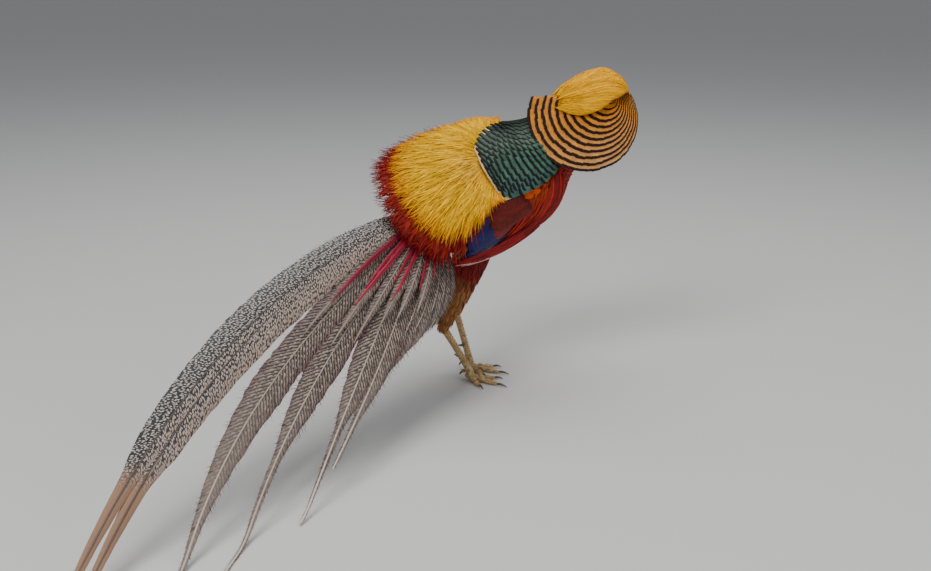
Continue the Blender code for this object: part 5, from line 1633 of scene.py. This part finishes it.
# shank and plates: share, half width; spur: away, down, radius; the rest: share of the length, height, radius
legRows = dict(
    shank=((-0.10, 0.0040), (0.0, 0.0050), (0.10, 0.0040), (0.45, 0.0033), (0.85, 0.0036), (1.02, 0.0046)),
    plate=((0.0, 0.90), (0.5, 1.0), (1.0, 1.04)),
    spur=((0.0, 0.0, 0.0022), (0.005, 0.0, 0.0016), (0.0105, -0.0015, 0.0005)),
    ball=((0.0, 0.0150, 0.0040), (0.0, 0.0100, 0.0050), (0.0, 0.0060, 0.0062), (0.0, 0.0022, 0.0056)),
    toe=((0.0, 0.0054, 0.0042), (0.18, 0.0044, 0.0036), (0.30, 0.0033, 0.0030), (0.42, 0.0039, 0.0037),
         (0.50, 0.0031, 0.0028), (0.58, 0.0027, 0.0025), (0.70, 0.0031, 0.0031), (0.80, 0.0025, 0.0024),
         (0.98, 0.0023, 0.0022)),
    claw=((0.94, 0.0024, 0.0014), (1.06, 0.0030, 0.0014), (1.18, 0.0024, 0.0009), (1.30, 0.0007, 0.0003)),
    hindToe=((0.0, 0.0, 0.0026), (0.5, -0.0012, 0.0022), (0.78, -0.0034, 0.0022)),
    hindClaw=((0.72, -0.0030, 0.0014), (0.88, -0.0052, 0.0011), (1.0, -0.0085, 0.0004)), hindLength=0.0150, plates=13)
sideGuide = (1.0, 0.0, 0.0)


def limb(name, start, heading, away, segments, rings, ends, guide=(0.0, 0.0, 1.0)):
    rows = [(*(start + heading * t + away * high), r, r) for t, high, r in legRows[name]]
    return sphereOnPath(name, rows, segments, rings, guide=guide, ends=ends)


def makeLeg(side, skinOfLeg, clawFinish):
    hock, ankle = (np.array(legShape[key][side]) for key in ("hock", "ankle"))
    along = unit(ankle - hock)
    rows = [(*mix(hock, ankle, t), r, r * 1.12) for t, r in legRows["shank"]]
    shank = [sphereOnPath("shank", rows, 20, 40, guide=sideGuide, ends=(0.08, 0.06))]
    front = unit(np.array((1.0, 0.1, 0.0)) - along * along[0])
    for k in range(legRows["plates"]):
        middle = mix(hock, ankle, 0.08 + 0.88 * k / legRows["plates"])
        rows = [(*(middle + along * (0.0048 * t) + front * (0.0006 + 0.0006 * t)), 0.0034 * w, 0.0036 * w)
                for t, w in legRows["plate"]]
        shank.append(sphereOnPath("plate", rows, 14, 8, guide=sideGuide, ends=(0.3, 0.2)))
    finishSolid(shank, f"shank{side.title()}", skinOfLeg, (f"shank_{side}",))
    inward = unit(np.array((-0.55, 0.50 * sides[side], 0.05)))
    claws = [limb("spur", mix(hock, ankle, 0.68) + inward * 0.001, inward, along, 14, 14, (0.1, 0.1))]
    centre = np.array((ankle[0], ankle[1], 0.0))
    toes = [limb("ball", centre, along, up, 18, 14, (0.2, 0.3), sideGuide)]
    for turn, length in legShape["toes"]:
        angle = math.radians(legShape["toeTurn"][side] + turn)
        heading = np.array((math.cos(angle), math.sin(angle), 0.0)) * length
        toes.append(limb("toe", centre, heading, up, 16, 40, (0.06, 0.06)))
        claws.append(limb("claw", centre, heading, up, 12, 16, (0.1, 0.1)))
    angle = math.radians(legShape["toeTurn"][side])
    heading = -np.array((math.cos(angle), math.sin(angle), 0.0)) * legRows["hindLength"]
    toes.append(limb("hindToe", ankle + up * 0.001, heading, up, 14, 16, (0.1, 0.2)))
    claws.append(limb("hindClaw", ankle + up * 0.001, heading, up, 12, 12, (0.1, 0.1)))
    finishSolid(toes, f"foot{side.title()}", skinOfLeg, (f"foot_{side}",))
    finishSolid(claws, f"claws{side.title()}", clawFinish)


print("legs")
legFinish = scaleFinish()
clawHorn = bareFinish("clawHorn", paint(96, 82, 66), 500.0, 0.2, 0.35)
for side in sides:
    makeLeg(side, legFinish, clawHorn)


# Floor, light and camera

viewShape = dict(place=(-0.0177, -1.3766, 0.5083), pitch=16, lens=46.4)
# lamps: name, place, power, size; all look at one spot
stageLook = dict(lamps=(("keyLight", (-0.9, -1.5, 1.9), 40, 1.0), ("fillLight", (1.8, -1.0, 1.0), 14, 1.6),
                        ("topLight", (0.2, 0.6, 2.2), 26, 1.6)), lampAim=(0.0, 0.0, 0.2),
                 floor=(0.62, 0.61, 0.59, 1.0), sky=(0.80, 0.84, 0.90, 1.0), skyStrength=0.34)


def setStage():
    bpy.ops.mesh.primitive_plane_add(size=90.0, location=(0.0, 0.0, -0.0002))
    floor = bpy.context.object
    floor.name = "floor"
    finish, _, shader = newFinish("paleFloor", 0.8)
    shader.inputs["Base Color"].default_value = stageLook["floor"]
    floor.data.materials.append(finish)
    for name, place, power, size in stageLook["lamps"]:
        light = bpy.data.objects.new(name, bpy.data.lights.new(name, "AREA"))
        bpy.context.scene.collection.objects.link(light)
        light.data.energy = power
        light.data.size = size
        light.location = place
        light.rotation_euler = (Vector(stageLook["lampAim"]) - Vector(place)).to_track_quat("-Z", "Y").to_euler()
    world = bpy.data.worlds.new("studio")
    world.use_nodes = True
    sky = world.node_tree.nodes["Background"]
    sky.inputs["Color"].default_value = stageLook["sky"]
    sky.inputs["Strength"].default_value = stageLook["skyStrength"]
    bpy.context.scene.world = world
    camera = bpy.data.objects.new("camera", bpy.data.cameras.new("camera"))
    bpy.context.scene.collection.objects.link(camera)
    camera.location = Vector(np.array(viewShape["place"]) + home)
    camera.rotation_euler = (math.radians(90 - viewShape["pitch"]), 0.0, 0.0)
    camera.data.sensor_width = 36.0
    camera.data.lens = viewShape["lens"]
    bpy.context.scene.camera = camera


print("stage")
setStage()
